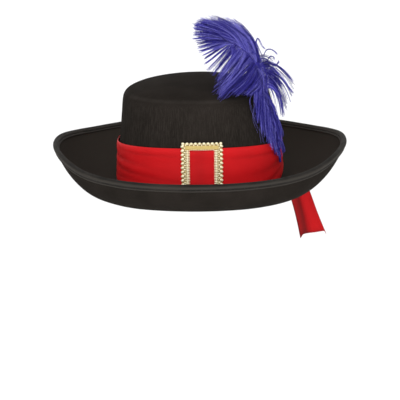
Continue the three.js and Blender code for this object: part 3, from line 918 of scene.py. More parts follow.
# %% Ribbon end
TAIL_FLAT = (0.03, 0.23)
TAIL_UV_WIDTH = 0.04
TAIL_ACROSS = 44
TAIL_ALONG = 84
TAIL_TIPS = 4.5  # the cut end's two corners hang this much lower than its middle
TAIL_RIPPLE = 0.5
HANGS_FROM = 0.6  # shares of the length: where it hangs free, and where the cut end starts
TIPS_FROM = 0.9
FOLD_FROM = 4 / 7
FOLD_SHADE = 0.9
FOLD_ASIDE = 0.04
FOLD_SOFTNESS = 0.14
TURNED_SHADE = 0.55
TURNED_WIDTH = 0.25
CORNER_FROM = 0.4  # across the ribbon, whose sides are at 0.5
RIM_ACROSS = 0.45
RIM_ALONG = 0.985
TAIL_RIM_SHADE = 0.6


def tail_painted_light(across, along):
    """Painted light on the satin: 1 where it is bright; painted shade in the fold, past it, and along
    the edges.
    """
    fold_at = lerp(FOLD_TOP, FOLD_END, max(along - FOLD_FROM, 0) / (1 - FOLD_FROM))
    off = across - fold_at + FOLD_ASIDE
    if off > 0:
        shade = math.exp(-((off / FOLD_SOFTNESS) ** 2))
    else:
        shade = lerp(1, TURNED_SHADE, min(-off / TURNED_WIDTH, 1))
    side_rim = (abs(across) - RIM_ACROSS) / (0.5 - RIM_ACROSS)
    rim = max(0, side_rim, (along - RIM_ALONG) / (1 - RIM_ALONG))
    return 1 - min(FOLD_SHADE * shade * min(1, 2 * along) + TAIL_RIM_SHADE * rim, 1)


bm = bmesh.new()
bmesh.ops.create_grid(bm, x_segments=TAIL_ACROSS, y_segments=TAIL_ALONG, size=0.5, calc_uvs=False)
painted_light_layer = bm.verts.layers.float.new("relief")
uv_layer = bm.loops.layers.uv.new("UVMap")
shares = {vert: (vert.co.x, vert.co.y + 0.5) for vert in bm.verts}
tail_lines = {}
for vert, (across, along) in shares.items():
    column = round(across, 5)
    if column not in tail_lines:
        tail_lines[column] = tail_line(across)
    spot = along_points(tail_lines[column], along * (len(tail_lines[column]) - 1))
    hanging = max(0, (along - HANGS_FROM) / (1 - HANGS_FROM))
    spot.y += TAIL_RIPPLE * hanging * noise.noise(Vector((across * 3, along * 9, 1)))
    corner = max(0, (abs(across) - CORNER_FROM) / (0.5 - CORNER_FROM))
    spot.z -= TAIL_TIPS * corner**1.4 * max(0, along - TIPS_FROM) / (1 - TIPS_FROM)
    vert.co = spot
    # painted shade in the fold, on the side that turns away, and along the edges
    vert[painted_light_layer] = tail_painted_light(across, along)
for face in bm.faces:
    for loop in face.loops:
        across, along = shares[loop.vert]
        loop[uv_layer].uv = (along * TAIL_FLAT[1], across * TAIL_UV_WIDTH)
bmesh.ops.recalc_face_normals(bm, faces=bm.faces)
tail = drawn_piece("ribbon_end", bm, satin, ["band_tail"])
print_cloth(tail, TAIL_FLAT)
thicken(tail, TAIL_CLOTH, 0)
subdivide(tail, 1)

# %% [markdown]
# ## Buckle
#
# The buckle is a length of gimp braid folded to a rectangle. Along its outer edge the braid has
# loops, then come small slanted beads, and its inner edge is a row of tiny loops. On the upright
# sides two rows of beads stand between them, and on the level sides a flat ribbed strip. Each row
# is a small bead repeated along the sides. The whole is drawn flat and then bent round the crown.

# %% Buckle's sides
BUCKLE_MIDDLE = 4.0
BUCKLE_WIDTH = 38.1
BUCKLE_HEIGHT = 49
BUCKLE_TOP = 50.3
BUCKLE_STAND = 3.1
LOOP_PITCH = 3.75
END_SHARE = 0.88  # the braid is pulled a little narrower along the top and the bottom
LEVEL = (0, 2)
UPRIGHT = (1, 3)
ALL_SIDES = (0, 1, 2, 3)


def buckle_sides(inset):
    """The four sides of the rectangle that lies inset from the braid's outer edge."""
    across = BUCKLE_WIDTH / 2 - inset
    down = BUCKLE_HEIGHT / 2 - inset * END_SHARE
    corners = [Vector((across * x, down * y)) for x, y in ((-1, -1), (1, -1), (1, 1), (-1, 1))]
    return list(zip(corners, corners[1:] + corners[:1]))


def bead_row(bm, inset, pitch, size, lift, slant=0.0, droop=0.0, trim=0.0, sides=ALL_SIDES):
    """Beads along the sides: size is along the side, across it and off it."""
    count = 0
    for side, (start, end) in enumerate(buckle_sides(inset)):
        if side not in sides:
            continue
        run = end - start
        start = start + run.normalized() * trim
        run -= 2 * run.normalized() * trim
        number = max(round(run.length / pitch), 1)
        heading = math.atan2(run.y, run.x) + slant + droop * (0, -1, 0, 1)[side]
        for i in range(number):
            spot = start + run * (i + 0.5) / number
            matrix = Matrix.Translation((spot.x, spot.y, lift))
            matrix @= Matrix.Rotation(heading, 4, "Z")
            matrix @= Matrix.Diagonal((size[0] / 2, size[1] / 2, size[2] / 2, 1))
            bmesh.ops.create_icosphere(bm, subdivisions=1, radius=1, matrix=matrix)
            count += 1
    return count


def bend_round_crown(bm):
    for vert in bm.verts:
        x = BUCKLE_MIDDLE + vert.co.x
        z = BUCKLE_TOP - BUCKLE_HEIGHT / 2 + vert.co.y
        fold = BRIM_SECTIONS[0][0]
        crown_height = min((z - fold) / (1 - fold / FOLD_REACH), FOLD_REACH)
        width, length = half_sizes(crown_inset(crown_height, 0) - BUCKLE_STAND - vert.co.z)
        vert.co = (x, -length * (1 - abs(x / width) ** PLAN_POWER) ** (1 / PLAN_POWER), z)


# %% Buckle's strip and the net under its beads
STRIP_CUTS = 11


def flat_strips(outer, inner, lift, thick, mitred=True, sides=ALL_SIDES):
    """Flat strips between two insets, joined with mitres or cut straight, bent round the crown."""
    bm = bmesh.new()
    for side, (start, end) in enumerate(zip(buckle_sides(outer), buckle_sides(inner))):
        if side in sides:
            corners = [Vector(point) for point in (*start, *reversed(end))]
            if not mitred:
                corners[2].x, corners[3].x = corners[1].x, corners[0].x
            bm.faces.new([bm.verts.new((*point, lift)) for point in corners])
    bmesh.ops.remove_doubles(bm, verts=bm.verts, dist=0.01)
    bmesh.ops.subdivide_edges(bm, edges=bm.edges, cuts=STRIP_CUTS, use_grid_fill=True)
    bmesh.ops.recalc_face_normals(bm, faces=bm.faces)
    bmesh.ops.solidify(bm, geom=bm.faces[:], thickness=-thick)
    bend_round_crown(bm)
    return bm


strips = flat_strips(3.5, 7.4, 0.3, 0.6, mitred=False, sides=LEVEL)
drawn_piece("buckle_strip", strips, ribbed, ["buckle"])
# the net paints the shade in the gaps between the beads
drawn_piece("buckle_net", flat_strips(0.9, 7.2, 0.1, 0.35), net_and_gap_shade)

# %% Buckle's beads
bm = bmesh.new()
beads = 0
beads += bead_row(bm, 1.2, LOOP_PITCH, (3.1, 2.6, 2.2), 1.0, trim=-0.9, sides=LEVEL)
beads += bead_row(bm, 2.8, LOOP_PITCH, (1.3, 2.2, 1.2), 0.6, sides=LEVEL)
beads += bead_row(bm, 1.7, LOOP_PITCH, (2.5, 4.0, 2.2), 1.0, droop=0.5, sides=UPRIGHT)
beads += bead_row(bm, 3.5, LOOP_PITCH, (1.3, 2.4, 1.3), 0.7, droop=-0.7, sides=UPRIGHT)
beads += bead_row(bm, 4.4, LOOP_PITCH / 2, (1.6, 0.8, 1.1), 0.7, slant=0.6, trim=2.5, sides=UPRIGHT)
beads += bead_row(bm, 6.2, 1.5, (1.35, 3.2, 1.6), 0.8, trim=1.4, sides=UPRIGHT)
beads += bead_row(bm, 7.7, 1.5, (0.95, 1.5, 1.0), 0.6)
bend_round_crown(bm)
drawn_piece("buckle_beads", bm, braid)
print("beads on the buckle:", beads)

# %% [markdown]
# ## Plume
#
# An ostrich plume is a bent quill with some hundreds of long, limp barbs on either side, and each
# barb carries a fringe of fine barbules, which make it look soft. The barbs cling together in
# bunches, and those lie in fans along the quill. Each fan is given by a few guide strands. Some 2,500
# barbs are drawn between the guides as lines, with a seeded random scatter, and Geometry Nodes
# turn the lines into tapering strands. The barbules are tiny blades, set on points along the barbs.

# %% Guides of the plume
QUILL = [Vector(point) for point in (
    (75, -37.6, 22), (74, -42, 34), (73.2, -47.5, 45), (69.6, -51, 59), (63.5, -54, 76),
    (58.2, -52.5, 93), (53.6, -50.5, 111), (46.5, -49, 122.5), (36.3, -48, 130.5), (20.5, -47, 137.5),
)]
# Each fan is a row of guide strands, and each strand has its root, two bends and its tip.
FANS = {
    "tip_outer": (
        ((58.4, -51, 107.3), (59.5, -47, 121.3), (53.2, -44, 138.4), (38.5, -42, 152.4)),
        ((54.8, -51, 116.4), (54.1, -47, 130.5), (45.5, -44, 146), (27, -43, 156.4)),
        ((49.5, -50, 121.8), (45.9, -47, 135.1), (37, -44, 149), (17.5, -44, 157.2)),
        ((44.1, -50, 127.3), (38.7, -47, 138.8), (29.5, -45, 151), (9.5, -44.5, 156.6)),
        ((38.7, -49, 130.9), (32.4, -47, 140.7), (20.5, -45, 152), (2.5, -45, 155)),
        ((33.3, -49, 134.5), (26.1, -47, 142.5), (12.5, -46, 151.5), (-1, -45.5, 153.4)),
        ((28.8, -49, 138.2), (20.7, -48, 144.5), (8, -47, 149.8), (-2.8, -46, 151)),
        ((25.2, -48, 139.9), (17, -48, 143.6), (6.2, -48, 146.5), (-3.7, -47, 147.4)),
    ),
    "tip_end": (
        ((25.2, -48, 139.9), (17, -48, 143.6), (6.2, -48, 146.5), (-3.7, -47, 147.4)),
        ((24.3, -48, 140.4), (15.2, -48, 142.8), (5.3, -48, 143.8), (-4.2, -48, 143.8)),
        ((27, -48, 139), (16.1, -49, 139.7), (5.3, -49, 139.3), (-3.8, -50, 138.6)),
        ((29.7, -49, 137.3), (18.8, -50, 137.1), (8, -51, 135), (-2, -52, 132.5)),
        ((33.3, -49, 134.5), (22.4, -52, 133.2), (11.6, -54, 129), (0.7, -56, 125.7)),
    ),
    "tip_inner": (
        ((28.8, -48, 138.2), (20.5, -51, 134.5), (11, -54, 130), (2.2, -56, 127)),
        ((29.7, -49, 137.3), (22, -52, 133.2), (12.5, -55.5, 127.8), (3.2, -57, 124)),
        ((31, -49, 136.4), (23.5, -52.5, 131.6), (14.5, -57, 125.8), (5.6, -59, 120.6)),
        ((32.2, -49, 135.4), (25, -53, 130), (16, -59, 122.6), (6.2, -62, 115.8)),
        ((33.3, -49, 134.5), (26, -54, 128.6), (17.2, -60, 119.8), (8.6, -64, 111.5)),
    ),
    "drape": (
        ((34.2, -49, 133.8), (27, -54, 127.4), (18, -60, 117.5), (9, -66, 108.5)),
        ((39, -49.5, 130.3), (31.5, -56, 123.7), (24, -64, 112), (17, -71, 104)),
        ((44, -50, 126.3), (37.5, -59, 119.5), (29, -70, 107), (19, -79, 98)),
        ((48.5, -50.5, 122.5), (42.5, -62, 116.5), (32, -76, 102.5), (17.5, -84, 91)),
        ((53, -51, 116.4), (48.4, -63, 112.6), (37.8, -77, 101), (23.5, -85, 90)),
        ((55.7, -52, 112.9), (52, -64, 107.2), (43.2, -77, 99), (32.5, -84, 91)),
        ((57.5, -52, 108.3), (54.6, -64, 101.8), (48, -76, 97), (40.8, -81, 92)),
        ((59.3, -53, 103), (57.3, -63, 97.1), (52.5, -72, 94), (47.8, -76, 91)),
        ((60, -54, 97), (60, -61, 95), (57, -66, 90), (53, -70, 86)),
    ),
    "collar": (
        ((54, -50.7, 112), (57, -51, 110), (59.5, -51, 104), (60.8, -51, 96)),
        ((56, -51.5, 105), (58.5, -52, 103), (60.8, -52, 97), (62, -52, 89)),
        ((57.5, -52.3, 98), (60, -53, 96), (62, -53, 90), (63.2, -53, 82)),
    ),
    "side_droop": (
        ((56.6, -51, 112.7), (64, -48, 123.2), (75.8, -45, 115.4), (86.8, -42, 98.5)),
        ((58.4, -52, 108.3), (67.6, -48, 115.9), (79.4, -44, 106.1), (87.7, -42, 88.3)),
        ((59.3, -53, 103.9), (68.4, -49, 109.6), (78.6, -45, 97.1), (83.4, -42, 79.1)),
        ((60.2, -53, 100.2), (69.3, -49, 103.2), (77.4, -45, 89.8), (81, -42, 69)),
        ((61.1, -53, 96.6), (70.3, -49, 99.7), (76.8, -46, 85.5), (79, -44, 65)),
        ((62, -53, 94), (70, -50, 98), (75.5, -47, 84), (76.5, -45, 65.5)),
    ),
    "heart": (
        ((31.5, -49, 135.8), (30.6, -52, 129.8), (29.5, -55, 124), (27.6, -56, 118)),
        ((39.7, -49.5, 130), (38, -55, 122), (35, -59, 115.5), (32, -61, 108.5)),
        ((48, -50, 123.3), (46.5, -57, 116), (44.5, -61, 108), (42.5, -62, 100)),
        ((52, -50.5, 118), (51, -58, 110), (49.5, -62, 102), (48, -63, 94)),
        ((55, -51, 110), (54.5, -58, 102), (53.5, -62, 95), (52, -63, 88)),
        ((57.5, -52.3, 101), (57.5, -58, 94), (57, -61, 87), (56, -62, 80)),
        ((59.5, -53, 94), (60, -58, 87), (60, -60, 80), (59.5, -60, 73)),
    ),
    "side_near": (
        ((51, -50, 119), (58, -49, 124), (64, -46, 121), (68, -44, 114)),
        ((54.5, -51, 112.7), (62, -49, 118), (69, -46, 113), (74, -44, 105)),
        ((56.5, -51, 106), (63, -50, 111), (70, -47, 105), (76, -44, 95)),
        ((58, -52, 100), (63, -52, 104), (69, -48, 100), (73.5, -45, 92)),
        ((59, -53, 95), (63, -54, 98), (67, -50, 95), (70, -47, 89)),
    ),
    "lower_inner": (
        ((56.6, -52, 109.2), (53.7, -64, 101), (50.6, -74, 89.8), (50.2, -76, 78)),
        ((59.3, -53, 101.1), (55.4, -64, 92.8), (54.3, -71, 82.2), (53.7, -73, 70)),
        ((61.1, -53, 92.9), (57.8, -62, 83.4), (57.6, -67, 71.8), (58.3, -70, 58.5)),
        ((63.8, -52, 84.5), (60.4, -60, 74), (60.8, -64, 62), (62.3, -66, 48.9)),
        ((65.6, -50, 75.9), (63.7, -56, 66), (64.6, -60, 54.7), (66.9, -61, 40)),
        ((68.3, -48, 66.4), (66.4, -53, 56.1), (67.2, -56, 45.5), (69.9, -55, 34.2)),
        ((71.1, -45, 55.7), (70, -49, 47.1), (71.8, -50, 37.9), (73.7, -49, 28.4)),
        ((73.8, -42, 44), (73.8, -44, 38.7), (74.7, -45, 32.4), (76, -44, 24.7)),
    ),
    "lower_outer": (
        ((58.4, -53, 103.9), (62.7, -52, 92.4), (66.6, -49, 79.1), (69.5, -46, 66.9)),
        ((61.1, -53, 93.8), (65.6, -51, 83.1), (70, -48, 69.7), (73.2, -44, 56.4)),
        ((63.7, -52, 82.7), (70.1, -48, 71.9), (73.8, -44, 59.2), (75.7, -42, 45.8)),
        ((67.4, -49, 68.4), (72.9, -46, 58.6), (76, -43, 47.5), (76.4, -40, 38)),
        ((72, -44, 50.8), (75.2, -42, 43), (76.4, -40, 36), (76.8, -38.5, 29.5)),
    ),
}

# %% Looks of the fans
FAN_LOOKS = {
    # barbs, bunches for each guide, how far they bunch, looseness, depth, barbules, thickness,
    # tone, how much paler towards the tips
    "tip_outer": (560, 7, 0.4, 0.01, 2.6, 2.2, 1.1, 0.68, -0.2),
    "tip_end": (290, 4, 0.55, 0.01, 2.4, 2.2, 1.1, 0.64, -0.1),
    "tip_inner": (130, 1, 0.8, 0.012, 2.5, 1.5, 1.1, 0.42, 0),
    "drape": (440, 6, 0.35, 0.035, 2.8, 2.2, 1, 0.38, 0.05),
    "collar": (90, 2, 0.2, 0.08, 1.5, 2.3, 1, 0.6, 0.1),
    "side_droop": (80, 2.6, 0.95, 0.012, 2.5, 0.4, 2.1, 0.26, 0),
    "heart": (210, 2, 0.3, 0.05, 1.5, 2.2, 1.1, 0.36, 0.1),
    "side_near": (150, 3, 0.5, 0.05, 3, 1.8, 1.1, 0.34, 0.05),
    "lower_inner": (350, 4.5, 0.25, 0.035, 2, 2.2, 1, 0.32, 0.12),
    "lower_outer": (190, 4.5, 0.3, 0.035, 3, 2.1, 1, 0.34, 0.1),
}

# %% Loose strands
# Single strands that curl out of the plume, and a few pale ones that hang loose in front of it.
CURLS = (
    ((61.2, -46, 114), (58.4, -46, 122), (55.1, -46, 129.4), (53.4, -46, 133.4), (54.6, -46, 137.1),
     (56.4, -46, 135.1), (58.5, -46, 130.5), (61.3, -46, 127.4)),
    ((56.7, -46, 114), (55.6, -46, 122), (54.3, -46, 127.7), (52.7, -46, 131.7), (52.5, -46, 134.8)),
    ((60.1, -45, 117.3), (60.4, -45, 122.4), (62.7, -45, 126.6), (66.4, -45, 127.3), (69.8, -45, 125.4),
     (72, -45, 122.9)),
    ((61.8, -45, 113.8), (64.1, -45, 118.2), (66.4, -45, 120.6), (69, -45, 120), (69.5, -45, 118.1)),
    ((65.8, -44, 108), (69, -44, 111.9), (71.5, -44, 112.7), (73.1, -44, 114.5), (73.8, -44, 115.9)),
    ((63.5, -44, 112.6), (68.1, -44, 113.6), (73.8, -44, 111.3), (79.4, -44, 106.7), (84, -44, 101.4),
     (86.5, -44, 97.2)),
    ((65.8, -44, 105.7), (71.5, -44, 103.3), (77.1, -44, 98.7), (82.2, -44, 92.9), (86.9, -44, 86.8)),
    ((58.1, -60, 105.6), (54.7, -60, 101.1), (50.2, -60, 102.3), (48.5, -60, 108), (52, -60, 114.8),
     (57, -60, 115.8), (59.8, -60, 111.3)),
    ((60.9, -58, 90.5), (62.6, -58, 98.5), (62.1, -58, 107.6), (59.3, -58, 115.5), (54.9, -58, 122.4),
     (49.8, -58, 127)),
    ((58.6, -60, 92), (59.7, -60, 99.9), (58.7, -60, 107.3), (55.3, -60, 114.1), (50.9, -60, 119.3)),
)
PALE_STRANDS = (
    ((54.6, -60, 84.8), (50.8, -72, 76.7), (50.7, -76, 67.3), (55.2, -74, 56)),
    ((59.1, -58, 71.7), (57.1, -68, 62.3), (57, -71, 53.7), (58.5, -72, 45.6)),
    ((51.9, -66, 93), (47.3, -78, 86.7), (48.1, -80, 78.8), (51.6, -77, 69.3)),
    ((57.5, -60, 112), (59.5, -61, 105), (60.5, -61, 98), (60, -62, 90)),
)
CURL_FAMILY = 7  # strands that cling together in each curl
CURL_SCATTER = 0.45
CURL_TONES = (0.1, 0.4)
PALE_FAMILY = 3
PALE_SCATTER = 1.2
PALE_TONES = (0.75, 1)

# %% Scatter of the barbs
HIGHLIGHT_STRANDS = 0.2
BARB_STEPS = 12
BUNCH_POINT = 0.2  # how much shorter the barbs at a bunch's sides are
BUNCH_REACH = (0.94, 1.04)
BUNCH_TONES = 0.19  # how widely the tones scatter, of bunches and of barbs; the bunches' scatter also paints shade in the plume
BARB_TONES = 0.27
HIGHLIGHT_TONES = (0.25, 0.6)
DEPTH_SCATTER = 0.6
WAVE_RATE = 5
WAVE_START = 1.5
SHORT_BARBS = 0.28
SHORT_REACH = (0.35, 0.92)
FULL_REACH = (0.95, 1)
rolls = random.Random(7)

quill_steps = [along_points(QUILL, i / 10) for i in range((len(QUILL) - 1) * 10 + 1)]
print("quill:", round(sum((b - a).length for a, b in zip(quill_steps, quill_steps[1:]))), "mm long")

# %% [markdown]
# The plume leans on the crown, and its strands must not sink into the felt or the band. The outward
# faces of those two solids go into a search tree, and any point of a strand that is under them, or
# closer than a hair's room, is moved out.

# %% Room over the crown
HAIR_ROOM = 1.6
CLOSE_BY = 20  # only points this near to the felt or the band are moved

corners = []
faces = []
for node in ("crown_and_brim", "hat_band"):
    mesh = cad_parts[node].data
    for polygon in mesh.polygons:
        if polygon.normal.dot(polygon.center) > 0:
            faces.append([len(corners) + i for i in range(len(polygon.vertices))])
            corners += [mesh.vertices[i].co.copy() for i in polygon.vertices]
crown_tree = BVHTree.FromPolygons(corners, faces)


def over_crown(point):
    spot, normal, _, away = crown_tree.find_nearest(point * MM)
    stand = (point * MM - spot).dot(normal) / MM
    if stand < HAIR_ROOM and away < CLOSE_BY * MM:
        return point + normal * (HAIR_ROOM - stand)
    return point


# %% Barbs as lines
def scatter(size):
    return Vector([rolls.gauss(0, size) for _ in range(3)])


def new_bunch(looseness, depth):
    """What the barbs of one bunch share: their reach, the way they lean and wave, and their tone."""
    reach = rolls.uniform(*BUNCH_REACH)
    wave = scatter(0.01 + looseness / 3)
    return reach, scatter(looseness), rolls.gauss(0, depth), wave, rolls.gauss(0, BUNCH_TONES)


def barb_line(guides, at, bunches, bunching, looseness, bunch):
    """Points of one barb, between its neighbouring guides; bunched barbs come together at the tip."""
    bunch_reach, bunch_aside, bunch_depth, wave, _ = bunch
    place_in_bunch = round(at * bunches) / bunches
    gathered = min(lerp(at, place_in_bunch, bunching), len(guides) - 1)
    columns = [[Vector(strand[k]) for strand in guides] for k in range(4)]
    wanted = along_points(columns[0], at)
    root = min(quill_steps, key=lambda point: (point - wanted).length_squared)
    near = along_points(columns[1], at) - root
    far = along_points(columns[2], lerp(at, gathered, 0.6)) - root
    tip = along_points(columns[3], gathered) - root
    length = tip.length
    reaches = SHORT_REACH if rolls.random() > 1 - SHORT_BARBS else FULL_REACH
    from_middle = abs(at - place_in_bunch) * bunches
    reach = bunch_reach * (1.02 - BUNCH_POINT * from_middle) * rolls.uniform(*reaches)
    aside = (bunch_aside + scatter(looseness * 0.6)) * length
    aside.y += bunch_depth + rolls.gauss(0, DEPTH_SCATTER)
    near = root + near * reach + aside * 0.3
    far = root + far * reach + aside * 0.75
    tip = root + tip * reach + aside
    wave = (wave + scatter(looseness / 3)) * length
    phase = rolls.uniform(0, WAVE_START)
    line = []
    for step in range(BARB_STEPS + 1):
        t = step / BARB_STEPS
        point = root * (1 - t) ** 3 + near * (3 * t * (1 - t) ** 2)
        point = point + far * (3 * t * t * (1 - t)) + tip * t**3
        point += wave * (t * math.sin(WAVE_RATE * t + phase))
        line.append(over_crown(point) if step > 1 else point)
    return line


def steps_along(curve, off):
    """A loose strand's line: the curve, and more and more off it towards the tip."""
    points = [Vector(point) for point in curve]
    last = (len(points) - 1) * 5
    return [along_points(points, i / 5) + off * (i / last) for i in range(last + 1)]


# %% Draw the barbs
barbs = []
for fan, guides in FANS.items():
    number, bunches, bunching, looseness, depth, fringe, thick, tone, paling = FAN_LOOKS[fan]
    in_fan = [new_bunch(looseness, depth) for _ in range(math.ceil((len(guides) - 1) * bunches) + 1)]
    for i in range(number):
        at = (i + rolls.uniform(0, 0.95)) / number * (len(guides) - 1)
        bunch = in_fan[round(at * bunches)]
        line = barb_line(guides, at, bunches, bunching, looseness, bunch)
        # some strands are painted pale, as highlights
        light = rolls.random() < HIGHLIGHT_STRANDS
        own = tone + bunch[-1] + (rolls.uniform(*HIGHLIGHT_TONES) if light else rolls.gauss(0, BARB_TONES))
        barbs.append((line, own, paling, fringe, thick))
for curl in CURLS:
    for _ in range(CURL_FAMILY):
        line = steps_along(curl, scatter(CURL_SCATTER))
        barbs.append((line, rolls.uniform(*CURL_TONES), 0.2, 1.2, 1.4))
for strand in PALE_STRANDS:
    for _ in range(PALE_FAMILY):
        line = [over_crown(point) for point in steps_along(strand, scatter(PALE_SCATTER))]
        barbs.append((line, rolls.uniform(*PALE_TONES), 0, 0, 0.7))
print("barbs:", len(barbs))

# %% Strands from the lines
BARB_RADII = (0.18, 0.08)


def evaluated(name, mesh, build):
    """Runs a mesh through a Geometry Nodes tree that build(tree, geometry) fills in."""
    source = add_to_scene(name, mesh)
    tree = bpy.data.node_groups.new(name, "GeometryNodeTree")
    for way in ("INPUT", "OUTPUT"):
        tree.interface.new_socket("Geometry", in_out=way, socket_type="NodeSocketGeometry")
    start = add_node(tree, "NodeGroupInput")
    add_node(tree, "NodeGroupOutput", Geometry=build(tree, start.outputs[0]))
    source.modifiers.new(name, "NODES").node_group = tree
    made = evaluated_mesh(source)
    made.materials.clear()  # the nodes leave an empty place for a finish
    bpy.data.objects.remove(source)
    return made


def add_values(mesh, name, kind, values):
    """Gives each point of a mesh a value of its own, for the nodes to read."""
    made = mesh.attributes.new(name, kind, "POINT")
    for item, value in zip(made.data, values):
        setattr(item, "value" if kind == "FLOAT" else "vector", value)


def read(tree, name, kind):
    return add_node(tree, "GeometryNodeInputNamedAttribute", {"data_type": kind}, Name=name).outputs[0]


def strands(name, lines):
    """Tapering strands along lines; each is (points, tone, paling, length of barbules, thickness)."""
    points, edges, tones, radii = [], [], [], []
    for line, tone, paling, _, thickness in lines:
        edges += [(len(points) + i, len(points) + i + 1) for i in range(len(line) - 1)]
        points += [point * MM for point in line]
        for step in range(len(line)):
            t = step / (len(line) - 1)
            tones.append(min(max(tone + paling * t, 0), 1))
            radii.append(MM * thickness * lerp(*BARB_RADII, t))
    mesh = bpy.data.meshes.new(name)
    mesh.from_pydata(points, edges, [])
    add_values(mesh, "tone", "FLOAT", tones)
    add_values(mesh, "thick", "FLOAT", radii)

    def build(tree, geometry):
        line = add_node(tree, "GeometryNodeMeshToCurve", Mesh=geometry).outputs[0]
        ring = add_node(tree, "GeometryNodeCurvePrimitiveCircle", Resolution=3, Radius=1.0).outputs[0]
        tube = {"Curve": line, "Profile Curve": ring, "Scale": read(tree, "thick", "FLOAT")}
        return add_node(tree, "GeometryNodeCurveToMesh", **tube, **{"Fill Caps": True}).outputs[0]

    return evaluated(name, mesh, build)


barb_mesh = strands("plume_barbs", barbs)
add_piece("plume_barbs", barb_mesh, plume, ["feather"])
print("barbs' faces:", len(barb_mesh.polygons))

# %% Barbules
BARBULE_PITCH = 0.76
BARBULE_WIDTH = 0.26
BARBULE_LEANS = (math.radians(46), math.radians(16))  # off the barb, at its foot and at its tip
BARBULE_LEANINGS = (0.6, 1.2)
BARBULE_TONES = 0.14
BARBULE_SIZES = (0.6, 1.15)
BARBULE_SPREAD = 0.6  # how far each pair is turned about its barb
BARBULE_DROOP = 0.2
FOOT_FRINGE = 0.42  # how long the fringe is at the barb's foot, as a share of its greatest length
NEAR_CROWN = 4

blade = bmesh.new()
outline = ((0, 0, 0), (0.4, -0.5, 0.06), (1, 0, 0), (0.4, 0.5, 0.06))
blade.faces.new([blade.verts.new(point) for point in outline])
blade_mesh = mesh_from("barbule", blade)

spots = []
for line, tone, paling, fringe, _ in barbs:
    length = sum((b - a).length for a, b in zip(line, line[1:]))
    number = int(length / BARBULE_PITCH) if fringe else 0
    for i in range(number):
        t = (i + rolls.uniform(0, 1)) / number
        at = t * (len(line) - 1)
        j = min(int(at), len(line) - 2)
        spot = line[j].lerp(line[j + 1], at - j)
        heading = (line[j + 1] - line[j]).normalized()
        spread = rolls.gauss(0, BARBULE_SPREAD)
        full = math.sin(math.pi * min(t + 0.1, 1))
        size = fringe * (FOOT_FRINGE + (1 - FOOT_FRINGE) * full) * rolls.uniform(*BARBULE_SIZES)
        _, normal, _, away = crown_tree.find_nearest(spot * MM)
        for side in (-1, 1):
            flat = heading.cross(Vector((0, -1, 0.2))).normalized()
            flat = Matrix.Rotation(spread, 3, heading) @ flat * side
            lean = lerp(*BARBULE_LEANS, t) * rolls.uniform(*BARBULE_LEANINGS)
            pointing = heading * math.cos(lean) + flat * math.sin(lean)
            pointing.z -= rolls.uniform(0, BARBULE_DROOP)
            if away < NEAR_CROWN * MM:
                pointing -= min(pointing.dot(normal), 0) * normal
            shade = tone + paling * t + rolls.gauss(0, BARBULE_TONES)
            spots.append((spot, pointing.normalized(), size, shade))
print("barbules:", len(spots))

# %% Blades on the points
def blades(name, spots):
    mesh = bpy.data.meshes.new(name)
    mesh.from_pydata([spot * MM for spot, _, _, _ in spots], [], [])
    add_values(mesh, "tone", "FLOAT", [min(max(tone, 0), 1) for _, _, _, tone in spots])
    turns = [Vector(pointing.to_track_quat("X", "Z").to_euler()) for _, pointing, _, _ in spots]
    add_values(mesh, "turn", "FLOAT_VECTOR", turns)
    sizes = [(size * MM, BARBULE_WIDTH * MM, size * MM) for _, _, size, _ in spots]
    add_values(mesh, "size", "FLOAT_VECTOR", sizes)

    def build(tree, geometry):
        shape = bpy.data.objects.new("barbule", blade_mesh)
        source = add_node(tree, "GeometryNodeObjectInfo", Object=shape).outputs["Geometry"]
        turn = read(tree, "turn", "FLOAT_VECTOR")
        placed = add_node(
            tree,
            "GeometryNodeInstanceOnPoints",
            Points=geometry,
            Instance=source,
            Rotation=add_node(tree, "FunctionNodeEulerToRotation", Euler=turn).outputs[0],
            Scale=read(tree, "size", "FLOAT_VECTOR"),
        )
        return add_node(tree, "GeometryNodeRealizeInstances", Geometry=placed.outputs[0]).outputs[0]

    return evaluated(name, mesh, build)


third = math.ceil(len(spots) / 3)
for i, part in enumerate(("tip", "middle", "foot")):
    name = "plume_barbules_" + part
    mesh = blades(name, spots[i * third : (i + 1) * third])
    add_piece(name, mesh, plume)
    print(name, "faces:", len(mesh.polygons))

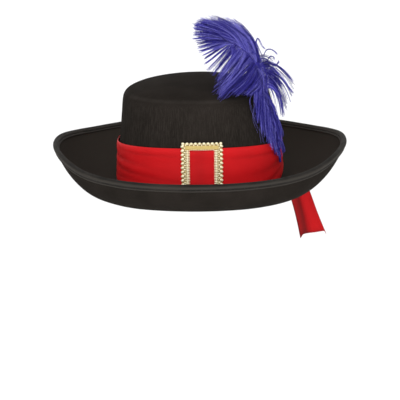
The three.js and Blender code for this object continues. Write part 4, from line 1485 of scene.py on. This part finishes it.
# %% Quill
QUILL_RADII = (1.1, 0.35)
line = bpy.data.curves.new("plume_quill", "CURVE")
line.dimensions = "3D"
line.bevel_depth = MM
line.bevel_resolution = 2
line.use_fill_caps = True
spline = line.splines.new("POLY")
spline.points.add(len(quill_steps) - 1)
for i, point in enumerate(quill_steps):
    spline.points[i].co = (*(point * MM), 1)
    spline.points[i].radius = lerp(*QUILL_RADII, i / (len(quill_steps) - 1))
drawn = add_to_scene("quill_line", line)
quill_mesh = evaluated_mesh(drawn)
bpy.data.objects.remove(drawn)
add_piece("plume_quill", quill_mesh, quill_horn)

# %% [markdown]
# ## Floor and light
#
# The hat is held in the air, as a head would hold it, over a plain white floor that rises behind
# into a plain white wall. A bright even sky gives the soft fill. The key lamp stands in front and
# above, a softer one to the right, and two weak ones low at the sides reach under the brim.

# %% Floor and backdrop
FLOOR = -0.32
bm = bmesh.new()
profile = [(-2.5, 0), (1.6, 0), (1.95, 0.06), (2.2, 0.3), (2.3, 0.7), (2.3, 3)]
strip = [bm.verts.new((-4, y, FLOOR + z)) for y, z in profile]
edges = [bm.edges.new(pair) for pair in zip(strip, strip[1:])]
swept = bmesh.ops.extrude_edge_only(bm, edges=edges)
moved = [item for item in swept["geom"] if isinstance(item, bmesh.types.BMVert)]
bmesh.ops.translate(bm, verts=moved, vec=(8, 0, 0))
bmesh.ops.recalc_face_normals(bm, faces=bm.faces)
mesh = mesh_from("backdrop", bm)
mesh.shade_smooth()
paper, tree = new_finish("white_paper", 0.9, specular=0.1)
finished(tree, (0.96, 0.96, 0.96, 1))
mesh.materials.append(paper)
backdrop = add_to_scene("backdrop", mesh)

# %% Light
LAMP_AIM = Vector((0, 0, 0.04))

sky = bpy.data.worlds.new("sky")
sky.use_nodes = True
sky.node_tree.nodes["Background"].inputs["Color"].default_value = (1, 1, 1, 1)
sky.node_tree.nodes["Background"].inputs["Strength"].default_value = 1.0
bpy.context.scene.world = sky
bpy.context.scene.view_settings.view_transform = "Standard"


def lamp(name, spot, size, power):
    light = bpy.data.lights.new(name, "AREA")
    light.size = size
    light.energy = power
    aim = (LAMP_AIM - Vector(spot)).to_track_quat("-Z", "Y")
    holder = add_to_scene(name, light)
    holder.matrix_world = Matrix.Translation(spot) @ aim.to_matrix().to_4x4()


lamp("key_lamp", (-0.35, -1.8, 0.6), 0.9, 17)
lamp("fill_lamp", (1.3, -1.4, 0.3), 1.2, 5)
lamp("low_lamp", (1.3, -1.1, -0.2), 0.6, 3.8)
lamp("left_lamp", (-1.5, -0.8, -0.2), 0.8, 2.5)
